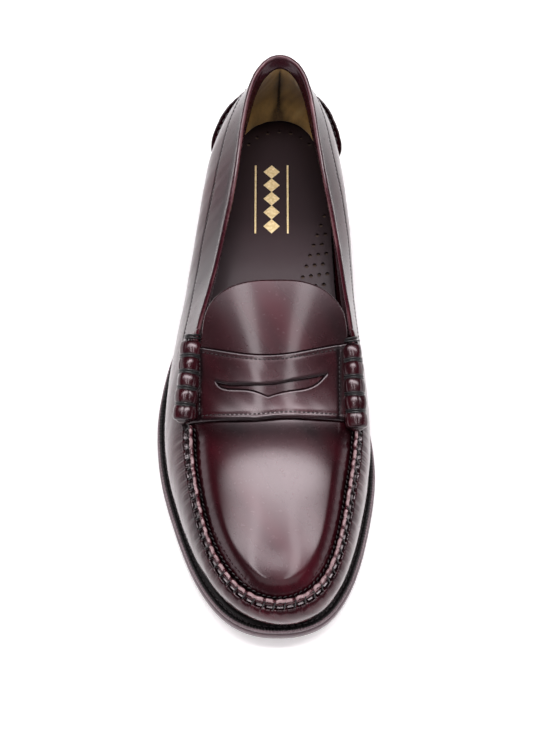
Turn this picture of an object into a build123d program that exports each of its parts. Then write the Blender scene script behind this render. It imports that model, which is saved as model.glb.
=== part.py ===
from build123d import *
import math
import os
import numpy as np

# A right penny loafer, European size 42. Millimetres. The toe points to -Y, the medial side is +X,
# +Z is up, and the origin is under the middle of the shoe's box, on the ground.

# Driving dimensions
LENGTH = 294.4  # outsole, toe tip to heel back
WIDTH = 108.0  # outsole, across the ball
HEIGHT = 84.5  # back of the topline above the ground
OUTSOLE_THICK = 5.5
WELT_THICK = 3.0
INSOLE_THICK = 2.2
SOCK_THICK = 1.2
UPPER_THICK = 1.8
LINING_THICK = 1.0
COUNTER_THICK = 1.5
SUEDE_THICK = 1.0
TOP_PIECE_THICK = 6.0
STITCH_RADIUS = 0.35
CORD_RADIUS = 0.6  # waxed thread round the beef rolls and along the moccasin seam
GAP = 0.1  # between curved leathers that lie on each other

# The last was drawn at this size, and is stretched to the driving dimensions.
LAST_SIZE = np.array([108.0, 294.4, 84.5])
STRETCH = np.array([WIDTH, LENGTH, HEIGHT]) / LAST_SIZE

# Stations round the upper, from the heel's back along the lateral side to the toe, and back along the
# medial side. Each has the feather line's x, y; the top edge's x, y, z; the wall's swell low and high;
# and how far down the high swell sits.
STATIONS = [
    (6.5, 142.6, 7.3, 137.8, 84.3, 5.0, 3.0, 0.40),
    (-14.0, 133.5, -5.4, 128.0, 80.8, 6.5, 6.0, 0.38),
    (-24.0, 110.0, -11.8, 103.0, 72.0, 10.5, 9.5, 0.36),
    (-26.8, 80.0, -14.8, 79.0, 64.5, 14.0, 13.0, 0.38),
    (-29.8, 48.0, -20.0, 49.0, 60.4, 15.0, 13.5, 0.38),
    (-36.8, 14.0, -26.0, 15.0, 63.0, 12.0, 11.0, 0.36),
    (-45.0, -20.0, -32.6, -18.0, 64.5, 7.0, 9.0, 0.30),
    (-47.6, -54.0, -36.4, -54.0, 48.8, 4.0, 8.5, 0.14),
    (-41.0, -85.0, -33.8, -84.4, 42.8, 3.5, 6.6, 0.08),
    (-30.0, -113.0, -26.4, -113.4, 38.6, 3.2, 5.8, 0.06),
    (-13.2, -134.4, -12.6, -134.0, 36.8, 4.0, 5.8, 0.05),
    (7.0, -142.6, 5.5, -141.2, 36.3, 4.4, 5.6, 0.05),
    (26.3, -135.6, 24.2, -134.4, 36.7, 4.0, 6.0, 0.05),
    (39.0, -112.5, 35.6, -113.3, 38.8, 3.0, 6.0, 0.06),
    (46.2, -84.0, 41.4, -84.4, 42.8, 3.0, 6.5, 0.08),
    (48.8, -54.0, 44.6, -55.0, 48.8, 3.5, 6.5, 0.14),
    (45.5, -20.0, 41.6, -18.0, 64.5, 6.0, 6.0, 0.30),
    (39.5, 14.0, 38.3, 13.0, 63.0, 8.5, 7.0, 0.34),
    (36.5, 48.0, 34.3, 48.0, 60.4, 11.0, 10.0, 0.36),
    (35.8, 80.0, 29.2, 79.0, 64.5, 10.5, 11.0, 0.36),
    (35.5, 110.0, 25.4, 103.0, 72.0, 6.5, 8.0, 0.36),
    (26.6, 133.5, 19.8, 128.0, 80.8, 5.5, 5.5, 0.38),
]
COUNT = len(STATIONS)

# Outline of the outsole, round the same way
OUTSOLE = [
    (7.0, 147.2), (-12.0, 141.0), (-24.5, 120.0), (-28.5, 90.0), (-31.0, 60.0), (-37.0, 28.0), (-47.0, 3.5),
    (-52.6, -19.0), (-54.0, -38.0), (-51.2, -64.0), (-43.4, -92.0), (-33.4, -117.6), (-19.8, -137.4),
    (-5.4, -145.8), (6.0, -147.2), (17.6, -145.9), (31.2, -137.8), (42.6, -117.8), (49.8, -92.0),
    (54.0, -64.0), (52.4, -38.0), (47.5, -12.0), (42.0, 16.0), (38.8, 46.0), (39.0, 80.0), (38.5, 110.0),
    (28.0, 138.5),
]

# Underside of the outsole: y, z
ROCKER = [
    (-147.2, 10.0), (-130.0, 6.6), (-110.0, 3.4), (-85.0, 1.0), (-60.0, 0.0), (-35.0, 0.3), (-10.0, 3.0),
    (15.0, 8.2), (40.0, 14.2), (62.0, 18.2), (85.0, 19.6), (147.2, 20.4),
]

# Apron and tongue: y, height of the middle, how sharply the sides fall away, and how flat the middle is
CROWN = [
    (-150.0, 31.0, 0.0140, 0.60), (-141.0, 37.4, 0.0130, 0.60), (-134.0, 42.6, 0.0120, 0.60),
    (-126.0, 45.6, 0.0105, 0.60), (-112.0, 48.9, 0.0095, 0.60), (-98.0, 51.9, 0.0087, 0.60),
    (-84.0, 54.7, 0.0078, 0.60), (-70.0, 57.0, 0.0072, 0.50), (-58.0, 58.9, 0.0066, 0.38),
    (-45.0, 62.4, 0.0056, 0.15), (-32.0, 67.0, 0.0046, 0.0), (-10.0, 76.0, 0.0028, 0.0),
    (8.0, 82.0, 0.0020, 0.0),
]
APRON_MIDDLE = 4.2  # x of the crown's ridge
APRON_HALF = 38.0  # half the apron's width across the ball

# Free end of the tongue, from one beef roll to the other
TONGUE = [
    (-29.5, -20.0), (-27.4, -9.0), (-22.5, -2.0), (-12.0, 3.2), (4.5, 4.6), (21.0, 3.4), (31.5, -2.0),
    (36.6, -9.0), (38.5, -20.0),
]

# Saddle strap in plan: the edge towards the heel, then the edge towards the toe
STRAP_REAR = [
    (-40.0, -21.5), (-26.7, -24.6), (-9.5, -28.2), (4.4, -29.0), (18.2, -27.0), (34.1, -23.2),
    (47.0, -20.5),
]
STRAP_FRONT = [
    (48.0, -54.0), (22.0, -56.6), (9.0, -56.8), (-1.0, -57.6), (-16.3, -57.2), (-31.8, -55.5),
    (-42.0, -54.6),
]
STRAP_SEAM_INSET = 2.1  # stitch rows inside the strap's edges

# Penny slot, from its lateral tip: the edge towards the heel, and the edge towards the toe with its notch
SLOT_REAR = [
    (-23.4, -39.0), (-19.5, -40.3), (-10.9, -41.4), (2.0, -41.6), (13.6, -39.8), (25.0, -37.2),
    (29.6, -35.9),
]
SLOT_FRONT_MEDIAL = [(29.6, -35.9), (25.0, -40.6), (20.5, -43.2), (13.6, -44.8), (7.6, -46.0), (1.4, -47.8)]
SLOT_FRONT_LATERAL = [
    (1.4, -47.8), (-4.9, -45.2), (-11.8, -44.0), (-18.7, -42.9), (-21.6, -41.4), (-23.4, -39.0),
]

# Beef rolls: rear end and front end of each axis
ROLL_AXES = {
    "lateral": ((-34.4, -19.5, 65.6), (-38.0, -56.0, 54.4)),
    "medial": ((40.4, -21.0, 65.2), (43.2, -59.0, 52.6)),
}
ROLL_LOBES = 5
LOBE_RADIUS = 4.6
GROOVE_RADIUS = 3.4
SEAT_RADIUS = 5.1
SEAT_SPARE = 0.5  # free room past each end of a roll

# Moccasin seam, from one beef roll round the toe to the other
SEAM_START, SEAM_END = 7.15, 14.85
SEAM_PITCH = 4.6

# Heel
BREAST_Y = 56.0
BREAST_RADIUS = 140.0
BREAST_HOLLOW = 16.0
LIFT_THICK = 4.4
LIFT_INSET = 1.6  # how far the top piece lies inside the outsole's edge
LIFT_STEP = 0.5  # how much further out each lift comes
NAIL_RADIUS, NAIL_LENGTH, NAIL_MIDDLE = 0.9, 8.0, 8.0
NAILS = [(-14.0, 118.0), (6.0, 133.0), (25.0, 118.0), (-15.0, 84.0), (24.0, 84.0)]

# Upper
HEEL_CUP_REACH = 1.9  # stations to each side of the heel's back
CUP_THICK = 1.2
CUP_LIFT = 1.2
CUP_FOOT = 0.02  # how high up the wall the heel cup starts
SEAM_SLIT = 0.025  # half the slit where the upper's two ends meet at the back
TOP_EDGE = 0.965  # the upper's cut edge below the binding
COLLAR_ROW = 0.68  # how high up the wall the collar's stitching runs

# Stitch rows: spacing, stitch length
COLLAR_STITCH = (3.0, 2.0)
CUP_STITCH = (3.6, 2.4)
WELT_STITCH = (3.4, 2.4)
STRAP_STITCH = (2.8, 1.8)
THREAD_CLEAR = 0.05  # free room under a row of thread
WELT_ROW = 2.6  # outside the feather line

# Inside the sole
WELT_SET_BACK = 0.6  # inside the outsole's edge
WELT_LAP = 5.0  # inside the feather line
SHANK_WIDTH, SHANK_LENGTH, SHANK_THICK = 14.0, 110.0, 1.6
SHANK_MIDDLE = (1.5, 32.0)
SHANK_BED = 0.6  # cork under the shank

# Sock: punched holes over the arch in slanting columns, a row round the heel, and a foil ornament
HOLE_RADIUS = 1.0
HOLE_FIRST = (30.4, 75.5)
HOLE_STEP = (-1.9, -5.75)
HOLE_COLUMN_STEP = (4.2, 0.6)
HOLE_ROWS = 8
HOLE_COLUMNS = 4
HEEL_HOLES = 7
HEEL_HOLE_RING = (7.0, 109.0, 20.0)  # x, y, radius
HEEL_HOLE_SWEEP = 18.0
ORNAMENT_MIDDLE = (3.0, 86.0)
ORNAMENT_LENGTH = 42.0
ORNAMENT_BAR = 0.9
LOZENGE_SIDE = 6.0
LOZENGES = 5
FOIL_THICK = 0.1


def closed_spline(points):
    """A smooth closed curve through the points. It takes the station number."""
    p = np.asarray(points, float)
    n = len(p)
    neighbours = np.roll(np.eye(n), 1, 1) + np.roll(np.eye(n), -1, 1)
    slope = np.linalg.solve(4 * np.eye(n) + neighbours, 3 * (np.roll(p, -1, 0) - np.roll(p, 1, 0)))

    def at(s):
        s = np.asarray(s, float)
        start = np.floor(s).astype(int)
        f = (s - start)[..., None]
        a = start % n
        b = (start + 1) % n
        ends = (1 + 2 * f) * (1 - f) ** 2 * p[a] + f * f * (3 - 2 * f) * p[b]
        return ends + f * (1 - f) ** 2 * slope[a] + f * f * (f - 1) * slope[b]

    return at


def open_spline(knots):
    """A natural cubic through knots of one place and one or more values."""
    table = np.asarray(knots, float)
    x = table[:, 0]
    v = table[:, 1:]
    n = len(x)
    h = np.diff(x)
    system = np.eye(n)
    right = np.zeros_like(v)
    for i in range(1, n - 1):
        system[i, i - 1:i + 2] = h[i - 1], 2 * (h[i - 1] + h[i]), h[i]
        right[i] = 6 * ((v[i + 1] - v[i]) / h[i] - (v[i] - v[i - 1]) / h[i - 1])
    bend = np.linalg.solve(system, right)

    def at(place):
        place = np.asarray(place, float)
        i = np.clip(np.searchsorted(x, place) - 1, 0, n - 2)
        d = (place - x[i])[..., None]
        step = h[i][..., None]
        e = step - d
        straight = (v[i] * e + v[i + 1] * d) / step
        curved = bend[i] * (e ** 3 / step - step * e) + bend[i + 1] * (d ** 3 / step - step * d)
        return straight + curved / 6

    return at


def stretched(table, axes):
    """The table with each column stretched along the axis named by its letter; - is left as it is."""
    factor = [1.0 if a == "-" else STRETCH["xyz".index(a)] for a in axes]
    return np.asarray(table, float) * factor


station = closed_spline(stretched(STATIONS, "xyxyzxx-"))
outsole_edge = closed_spline(stretched(OUTSOLE, "xy"))
rocker = open_spline(stretched(ROCKER, "yz"))
crown = open_spline(stretched(CROWN, "yz--"))


def sole_height(y):
    """Height of the outsole's underside."""
    return rocker(y)[..., 0]


def unit(v):
    return v / np.linalg.norm(v, axis=-1, keepdims=True)


def outward(s):
    """The level direction that points out of the shoe at a station."""
    step = unit((station(s + 1e-3) - station(s - 1e-3))[..., :2])
    return np.stack([step[..., 1], -step[..., 0], np.zeros_like(step[..., 0])], -1)


def feather(s):
    q = station(s)
    return np.stack([q[..., 0], q[..., 1], sole_height(q[..., 1]) + OUTSOLE_THICK + WELT_THICK], -1)


def wall_point(s, t):
    """The upper's outer face. t runs from 0 at the welt to 1 at the top edge."""
    q = station(s)
    foot = feather(s)
    edge = q[..., 2:5]
    out = outward(s)
    up = np.array([0.0, 0.0, 1.0])
    rise = (edge - foot)[..., 2:]
    low = foot + out * q[..., 5:6] + up * rise * 0.45
    high = edge + out * q[..., 6:7] - up * rise * q[..., 7:8]
    f = t[..., None]
    return (1 - f) ** 3 * foot + 3 * f * (1 - f) ** 2 * low + 3 * f * f * (1 - f) * high + f ** 3 * edge


def wall(s, t, depth=0.0):
    """A point at a depth under the upper's outer face. A negative depth stands out of it."""
    s, t, depth = np.broadcast_arrays(*(np.asarray(v, float) for v in (s, t, depth)))
    d = 1e-3
    along = wall_point(s + d, t) - wall_point(s - d, t)
    across = wall_point(s, t + d) - wall_point(s, t - d)
    return wall_point(s, t) - unit(np.cross(along, across)) * depth[..., None]


def apron_height(x, y):
    """The apron's and tongue's top face: flattest in the middle, steepest beside the seam."""
    middle, fall, flat = np.moveaxis(crown(y), -1, 0)
    aside = (x - APRON_MIDDLE * STRETCH[0]) ** 2
    return middle - fall * aside * (1 - flat * (1 - aside / APRON_HALF ** 2))


def smooth_step(value, low, high):
    f = np.clip((np.asarray(value, float) - low) / (high - low), 0.0, 1.0)
    return f * f * (3 - 2 * f)


def skin(outer, inner):
    """A closed solid between two grids of points."""
    front = Face.make_surface_from_array_of_points(outer.tolist())
    back = Face.make_surface_from_array_of_points(inner.tolist())
    sides = []
    for edge in front.edges():
        mate = min(back.edges(), key=lambda other: (other @ 0.5 - edge @ 0.5).length)
        sides.append(Face.make_surface_from_curves(edge, mate))
    return Solid(Shell([front, back, *sides]))


def panel(start, end, bottom, top, outer, inner, columns=40, rows=10):
    """A leather panel of the upper, between two stations. Its other limits are numbers or functions of s."""
    s = np.linspace(start, end, columns)[:, None]
    share = np.linspace(0.0, 1.0, rows)[None, :]
    low, high, near, far = (limit(s) if callable(limit) else limit for limit in (bottom, top, outer, inner))
    t = low + (high - low) * share
    return skin(wall(s, t, near), wall(s, t, far))


def outline_face(points):
    return Face(Wire([Spline(*[(x, y, 0) for x, y in points], periodic=True)]))


def prism(face, low=-20.0, high=120.0):
    return extrude(face.moved(Location((0, 0, low))), high - low, dir=(0, 0, 1))


def feather_outline(inset):
    """The feather line in plan, moved in by an inset: a number or a function of s."""
    s = np.linspace(0, COUNT, 4 * COUNT, endpoint=False)[:, None]
    inward = inset(s) if callable(inset) else inset
    points = station(s[:, 0])[:, :2] - outward(s[:, 0])[:, :2] * inward
    return outline_face(points)


def sole_slab(low, high):
    """A slab that follows the sole's rocker between two heights above the outsole's underside."""
    reach = LENGTH / 2 + 4
    y = np.linspace(-reach, reach, 40)
    z = sole_height(y)
    lower = Spline(*[(0, a, b + low) for a, b in zip(y, z)])
    upper = Spline(*[(0, a, b + high) for a, b in zip(y, z)])
    side = Face(Wire([lower, upper, Line(lower @ 0, upper @ 0), Line(lower @ 1, upper @ 1)]))
    return extrude(side.moved(Location((-WIDTH, 0, 0))), 2 * WIDTH, dir=(1, 0, 0))


def crown_slab(low, high):
    """A slab that follows the apron between two heights above its top face."""
    x = np.linspace(-WIDTH / 2, WIDTH / 2 + 4, 12)[:, None]
    y = np.linspace(-LENGTH / 2 - 2, 8 * STRETCH[1], 30)[None, :]
    x, y = np.broadcast_arrays(x, y)
    z = apron_height(x, y)
    return skin(np.stack([x, y, z + high], -1), np.stack([x, y, z + low], -1))


def apron_outline(inset, tongue_inset=0.0):
    """The apron and tongue in plan: the seam line moved in, closed by the tongue's free end."""
    s = np.linspace(6.6, 15.4, 45)
    seam = station(s)[:, 2:4] - outward(s)[:, :2] * inset
    middle = np.array([APRON_MIDDLE, -20.0]) * STRETCH[:2]
    tongue = stretched(TONGUE, "xy")[::-1]
    tongue = tongue + unit(middle - tongue) * tongue_inset
    return outline_face(np.concatenate([seam, tongue]))


def stitch(a, b, radius=STITCH_RADIUS):
    """A straight stitch from a to b."""
    a = Vector(*a)
    b = Vector(*b)
    return Plane(origin=(a + b) / 2, z_dir=b - a) * Cylinder(radius, (b - a).length)


def evenly(path, spacing):
    """Places spaced evenly along a path given as many points."""
    length = np.concatenate([[0.0], np.cumsum(np.linalg.norm(np.diff(path, axis=0), axis=1))])
    places = np.arange(spacing / 2, length[-1], spacing)
    return np.stack([np.interp(places, length, path[:, k]) for k in range(3)], -1)


def stitch_row(path, spacing, length, radius=STITCH_RADIUS):
    """A row of stitches along a path."""
    points = evenly(path, spacing)
    ahead = unit(np.gradient(points, axis=0)) * length / 2
    return [stitch(p - v, p + v, radius) for p, v in zip(points, ahead)]


def flat_curve(table):
    return Spline(*[(x, y, 0) for x, y in stretched(table, "xy")])


def strap_outline():
    rear = flat_curve(STRAP_REAR)
    front = flat_curve(STRAP_FRONT)
    return Face(Wire([rear, Line(rear @ 1, front @ 0), front, Line(front @ 1, rear @ 0)]))


def slot_outline():
    return Face(Wire([flat_curve(SLOT_REAR), flat_curve(SLOT_FRONT_MEDIAL), flat_curve(SLOT_FRONT_LATERAL)]))


def roll_frame(side):
    rear, front = (Vector(*end) for end in stretched(ROLL_AXES[side], "xyz"))
    return Plane(origin=rear, z_dir=front - rear), (front - rear).length


def beef_roll(side):
    """The rolled leather, pinched into lobes, and the rings of thread in its grooves."""
    place, length = roll_frame(side)
    pitch = length / ROLL_LOBES
    lobes = []
    for k in range(ROLL_LOBES):
        ends = (GROOVE_RADIUS, 0, k * pitch), (GROOVE_RADIUS, 0, (k + 1) * pitch)
        lobes.append(ThreePointArc(ends[0], (LOBE_RADIUS, 0, (k + 0.5) * pitch), ends[1]))
    rear_end = Line((0, 0, 0), (GROOVE_RADIUS, 0, 0))
    front_end = Line((GROOVE_RADIUS, 0, length), (0, 0, length))
    axis = Line((0, 0, length), (0, 0, 0))
    roll = revolve(Face(Wire([rear_end, *lobes, front_end, axis])), Axis.Z)
    rings = []
    for k in range(1, ROLL_LOBES):
        rings.append(Pos(0, 0, k * pitch) * Torus(GROOVE_RADIUS + CORD_RADIUS / 2, CORD_RADIUS))
    for ring in rings:
        roll -= ring
    return place * roll, [place * ring for ring in rings]


def roll_seat(side):
    """The space that a beef roll and its thread fill."""
    place, length = roll_frame(side)
    return place * Pos(0, 0, length / 2) * Cylinder(SEAT_RADIUS, length + 2 * SEAT_SPARE)


def seat_rolls(shape):
    for side in ROLL_AXES:
        shape = shape - roll_seat(side)
    return shape


def largest(shape):
    """The largest solid of a cut shape."""
    return max(shape.solids(), key=lambda solid: solid.volume)


def inner_depth(s):
    """How deep the lining's outer face lies: the heel counter thickens the wall round the heel."""
    from_back = np.abs((np.asarray(s, float) + COUNT / 2) % COUNT - COUNT / 2)
    behind = 1 - smooth_step(from_back, 2.4, 3.4)
    return UPPER_THICK + GAP + behind * (COUNTER_THICK + GAP)


def vamp():
    """The moccasin cradle: one piece of leather round the toe and sides, closed by a seam at the back."""
    def top(s):
        front = smooth_step(s, 6.8, 7.4) * (1 - smooth_step(s, 14.6, 15.2))
        return TOP_EDGE + front * (1.0 - TOP_EDGE)

    cradle = panel(SEAM_SLIT, COUNT - SEAM_SLIT, 0.0, top, 0.0, UPPER_THICK, 120)
    return largest(seat_rolls(cradle))


def apron():
    plate = crown_slab(-UPPER_THICK, 0.0) & prism(apron_outline(2 * GAP))
    return largest(seat_rolls(plate))


def tongue_lining():
    """The soft lining under the tongue, back from the strap's front edge."""
    front_edge = Pos(0, STRAP_FRONT[-1][1] - 3.0 - WIDTH, 0) * Box(2 * WIDTH, 2 * WIDTH, 4 * WIDTH)
    low = -UPPER_THICK - GAP
    plate = crown_slab(low - LINING_THICK, low) & prism(apron_outline(8.0, 2.0))
    return largest(seat_rolls(plate - front_edge))


def saddle_strap():
    plate = crown_slab(GAP, GAP + UPPER_THICK) & prism(strap_outline())
    return largest(seat_rolls(plate) - prism(slot_outline()))


def cup_top(s):
    """How high up the wall the heel cup reaches."""
    return 0.05 + 0.30 * np.sqrt(np.clip(1 - (s / HEEL_CUP_REACH) ** 2, 0, 1))


def heel_cup():
    """The outer heel piece. Its upper edge is turned out where it is sewn to the quarter."""
    s = np.linspace(-HEEL_CUP_REACH, HEEL_CUP_REACH, 40)[:, None]
    share = np.linspace(0.0, 1.0, 12)[None, :]
    t = CUP_FOOT + share * (cup_top(s) - CUP_FOOT)
    lift = CUP_LIFT * smooth_step(share, 0.7, 1.0)
    return skin(wall(s, t, -GAP - CUP_THICK - lift), wall(s, t, -GAP))


def topline_binding():
    """The rolled leather edge from one beef roll round the back to the other."""
    def inner(s):
        return inner_depth(s) + LINING_THICK + 0.6

    return largest(seat_rolls(panel(-5.9, 5.9, TOP_EDGE + 0.004, 0.9995, -0.8, inner, 70, 4)))


def quarter_lining(start, end):
    """A side's leather lining, from the heel's back to behind the tongue."""
    def inner(s):
        return inner_depth(s) + LINING_THICK

    return largest(seat_rolls(panel(start, end, 0.08, TOP_EDGE, inner_depth, inner)))


def vamp_lining():
    """The soft lining of the toe and forepart, under the cradle."""
    depth = UPPER_THICK + GAP
    return largest(seat_rolls(panel(6.1, 15.9, 0.08, 0.86, depth, depth + LINING_THICK, 60)))


def heel_counter():
    depth = UPPER_THICK + GAP
    return panel(-2.3, 2.3, 0.04, 0.62, depth, depth + COUNTER_THICK)


def heel_lining():
    """The suede grip inside the heel, over the quarter linings."""
    def depth(s):
        return inner_depth(s) + LINING_THICK + GAP

    return panel(-1.7, 1.7, 0.10, TOP_EDGE - 0.03, depth, lambda s: depth(s) + SUEDE_THICK)


def insole_inset(s):
    """The insole and sock reach the cradle in front, and the counter round the heel."""
    return inner_depth(s) + 2 * GAP


def plate(face, low, high):
    """A flat piece of the sole: an outline in plan, between two heights above the outsole's underside."""
    return largest(sole_slab(low, high) & prism(face))


def sole_outline(inset=0.0):
    s = np.linspace(0, len(OUTSOLE), 3 * len(OUTSOLE), endpoint=False)
    points = outsole_edge(s)
    step = unit(outsole_edge(s + 1e-3) - outsole_edge(s - 1e-3))
    return outline_face(points + np.stack([-step[:, 1], step[:, 0]], -1) * inset)


def welt():
    ring = plate(sole_outline(WELT_SET_BACK), OUTSOLE_THICK, OUTSOLE_THICK + WELT_THICK)
    return ring - prism(feather_outline(WELT_LAP))


def shank():
    """The steel spring under the waist."""
    low = OUTSOLE_THICK + SHANK_BED
    strip = Pos(*SHANK_MIDDLE, 0) * Box(SHANK_WIDTH, SHANK_LENGTH, 4 * HEIGHT)
    return largest(sole_slab(low, low + SHANK_THICK) & strip)


def heel_block(low, high, inset):
    """A slice of the heel, behind a hollowed breast."""
    breast = Pos(3, BREAST_Y - BREAST_RADIUS, 0) * Cylinder(BREAST_RADIUS, 4 * HEIGHT)
    front = Pos(0, BREAST_Y - BREAST_HOLLOW / 2 - LENGTH, 0) * Box(4 * WIDTH, 2 * LENGTH, 4 * HEIGHT)
    body = prism(sole_outline(inset), low, high) - breast - front
    return largest(body)


def heel_lift(index):
    """A leather lift. The top one is shaped to the outsole's underside."""
    low = TOP_PIECE_THICK + index * LIFT_THICK
    high = low + LIFT_THICK if index < 2 else HEIGHT / 2
    under_outsole = sole_slab(-HEIGHT, 0.0)
    return largest(heel_block(low, high, LIFT_INSET - LIFT_STEP * index) & under_outsole)


def nails():
    return [Pos(x, y, NAIL_MIDDLE) * Cylinder(NAIL_RADIUS, NAIL_LENGTH) for x, y in NAILS]


def drilled(shape):
    for nail in nails():
        shape = shape - nail
    return shape


def sock_holes():
    """The punched triangle over the arch, and the row along the sock's back edge."""
    holes = []
    for column in range(HOLE_COLUMNS):
        for row in range(2 * column, HOLE_ROWS):
            x, y = (a + row * b + column * c for a, b, c in zip(HOLE_FIRST, HOLE_STEP, HOLE_COLUMN_STEP))
            holes.append((x, y))
    x, y, radius = HEEL_HOLE_RING
    for k in range(HEEL_HOLES):
        angle = math.radians(HEEL_HOLE_SWEEP * (k - (HEEL_HOLES - 1) / 2))
        holes.append((x + radius * math.sin(angle), y + radius * math.cos(angle)))
    return holes


def sock_lining():
    low = OUTSOLE_THICK + WELT_THICK + INSOLE_THICK + GAP
    sheet = plate(feather_outline(insole_inset), low, low + SOCK_THICK)
    for x, y in sock_holes():
        sheet = sheet - Pos(x, y, 0) * Cylinder(HOLE_RADIUS, 4 * HEIGHT)
    return largest(sheet)


def sock_ornament():
    """A plain foil device on the sock: a column of lozenges between two bars."""
    low = OUTSOLE_THICK + WELT_THICK + INSOLE_THICK + SOCK_THICK + 2 * GAP
    band = sole_slab(low, low + FOIL_THICK)
    x, y = ORNAMENT_MIDDLE
    pitch = ORNAMENT_LENGTH / LOZENGES
    cutters = []
    for k in range(LOZENGES):
        along = (k - (LOZENGES - 1) / 2) * pitch
        cutters.append(Pos(x, y + along, 0) * Rot(0, 0, 45) * Box(LOZENGE_SIDE, LOZENGE_SIDE, 4 * HEIGHT))
    for side in (-1, 1):
        cutters.append(Pos(x + side * pitch, y, 0) * Box(ORNAMENT_BAR, ORNAMENT_LENGTH, 4 * HEIGHT))
    pieces = []
    for cutter in cutters:
        pieces += (band & cutter).solids()
    return Compound(pieces)


def moc_seam_thread():
    """Whip stitches over the seam, from the cradle to the apron."""
    s = np.linspace(SEAM_START, SEAM_END, 600)
    length = np.concatenate([[0.0], np.cumsum(np.linalg.norm(np.diff(wall(s, 1.0), axis=0), axis=1))])
    places = np.interp(np.arange(SEAM_PITCH / 2, length[-1], SEAM_PITCH), length, s)
    outer = wall(places, 0.97)
    inner = station(places)[:, 2:5] - outward(places) * 2.4
    lift = np.array([0.0, 0.0, CORD_RADIUS + 0.3])
    inner[:, 2] = np.maximum(apron_height(inner[:, 0], inner[:, 1]), outer[:, 2])
    return Compound([stitch(a + lift, b + lift, CORD_RADIUS) for a, b in zip(outer, inner)])


def collar_stitching():
    """The fine row below the topline."""
    path = wall(np.linspace(-5.7, 5.7, 600), COLLAR_ROW, -STITCH_RADIUS - THREAD_CLEAR)
    return Compound(stitch_row(path, *COLLAR_STITCH))


def heel_seam_thread():
    """The stitches that hold the heel cup's upper edge."""
    reach = HEEL_CUP_REACH - 0.15
    s = np.linspace(-reach, reach, 400)
    path = wall(s, cup_top(s) + 0.025, -STITCH_RADIUS - 3 * THREAD_CLEAR)
    return Compound(stitch_row(path, *CUP_STITCH))


def welt_stitching():
    """The row along the welt, from the breast of the heel round the toe and back."""
    s = np.linspace(0, COUNT, 1200)
    path = feather(s) + outward(s) * WELT_ROW + [0, 0, STITCH_RADIUS + THREAD_CLEAR]
    keep = path[path[:, 1] < BREAST_Y + 10]
    return Compound(stitch_row(keep, *WELT_STITCH))


def strap_stitching():
    """Rows just inside the strap's two long edges."""
    stitches = []
    for table, side in ((STRAP_REAR, -1), (STRAP_FRONT, 1)):
        curve = flat_curve(table)
        flat = np.array([[p.X, p.Y] for p in (curve @ u for u in np.linspace(0.14, 0.86, 200))])
        flat[:, 1] += side * STRAP_SEAM_INSET
        height = apron_height(*flat.T) + GAP + UPPER_THICK + STITCH_RADIUS + THREAD_CLEAR
        path = np.column_stack([flat, height])
        stitches += stitch_row(path, *STRAP_STITCH)
    return Compound(stitches)


def loafer():
    base = OUTSOLE_THICK + WELT_THICK
    lift_names = ["heel_lift_lower", "heel_lift_middle", "heel_lift_upper"]
    nodes = {
        "outsole": plate(sole_outline(), 0.0, OUTSOLE_THICK),
        "welt": welt(),
        "cork_filler": plate(feather_outline(WELT_LAP + 2 * GAP), OUTSOLE_THICK, base) - shank(),
        "shank": shank(),
        "insole": plate(feather_outline(insole_inset), base, base + INSOLE_THICK),
        "sock_lining": sock_lining(),
        "sock_ornament": sock_ornament(),
        "vamp": vamp(),
        "apron": apron(),
        "tongue_lining": tongue_lining(),
        "saddle_strap": saddle_strap(),
        "heel_cup": heel_cup(),
        "heel_counter": heel_counter(),
        "topline_binding": topline_binding(),
        "lateral_lining": quarter_lining(0.03, 5.95),
        "medial_lining": quarter_lining(COUNT - 5.95, COUNT - 0.03),
        "vamp_lining": vamp_lining(),
        "heel_lining": heel_lining(),
        "heel_top_piece": drilled(heel_block(0.0, TOP_PIECE_THICK, LIFT_INSET)),
        "heel_nails": Compound(nails()),
        "moc_seam_thread": moc_seam_thread(),
        "collar_stitching": collar_stitching(),
        "heel_seam_thread": heel_seam_thread(),
        "welt_stitching": welt_stitching(),
        "strap_stitching": strap_stitching(),
    }
    for index, name in enumerate(lift_names):
        nodes[name] = drilled(heel_lift(index))
    for side in ROLL_AXES:
        roll, rings = beef_roll(side)
        nodes[f"beef_roll_{side}"] = roll
        nodes[f"roll_thread_{side}"] = Compound(rings)
    return nodes


def write_parts():
    os.makedirs("parts", exist_ok=True)
    for name, shape in loafer().items():
        export_step(shape, f"parts/{name}.step")


write_parts()
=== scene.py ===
import math
import bpy
import bmesh
import numpy as np
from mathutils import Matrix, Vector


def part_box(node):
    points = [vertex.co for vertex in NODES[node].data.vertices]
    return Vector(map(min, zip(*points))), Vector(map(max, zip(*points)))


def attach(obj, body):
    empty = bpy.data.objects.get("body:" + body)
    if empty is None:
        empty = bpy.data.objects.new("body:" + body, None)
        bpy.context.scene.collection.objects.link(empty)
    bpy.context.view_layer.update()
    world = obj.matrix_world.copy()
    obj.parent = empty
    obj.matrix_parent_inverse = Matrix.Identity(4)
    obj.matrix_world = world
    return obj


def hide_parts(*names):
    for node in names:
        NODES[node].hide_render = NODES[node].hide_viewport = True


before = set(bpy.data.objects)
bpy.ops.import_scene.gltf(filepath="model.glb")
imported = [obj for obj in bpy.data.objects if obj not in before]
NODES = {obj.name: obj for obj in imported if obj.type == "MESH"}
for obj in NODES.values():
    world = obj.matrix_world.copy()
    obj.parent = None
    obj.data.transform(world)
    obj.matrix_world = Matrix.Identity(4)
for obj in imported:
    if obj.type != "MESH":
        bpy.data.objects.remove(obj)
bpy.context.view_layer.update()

# Lengths here are millimetres, and become metres when a mesh is made.
MM = 0.001
UP = np.array([0.0, 0.0, 1.0])

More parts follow.
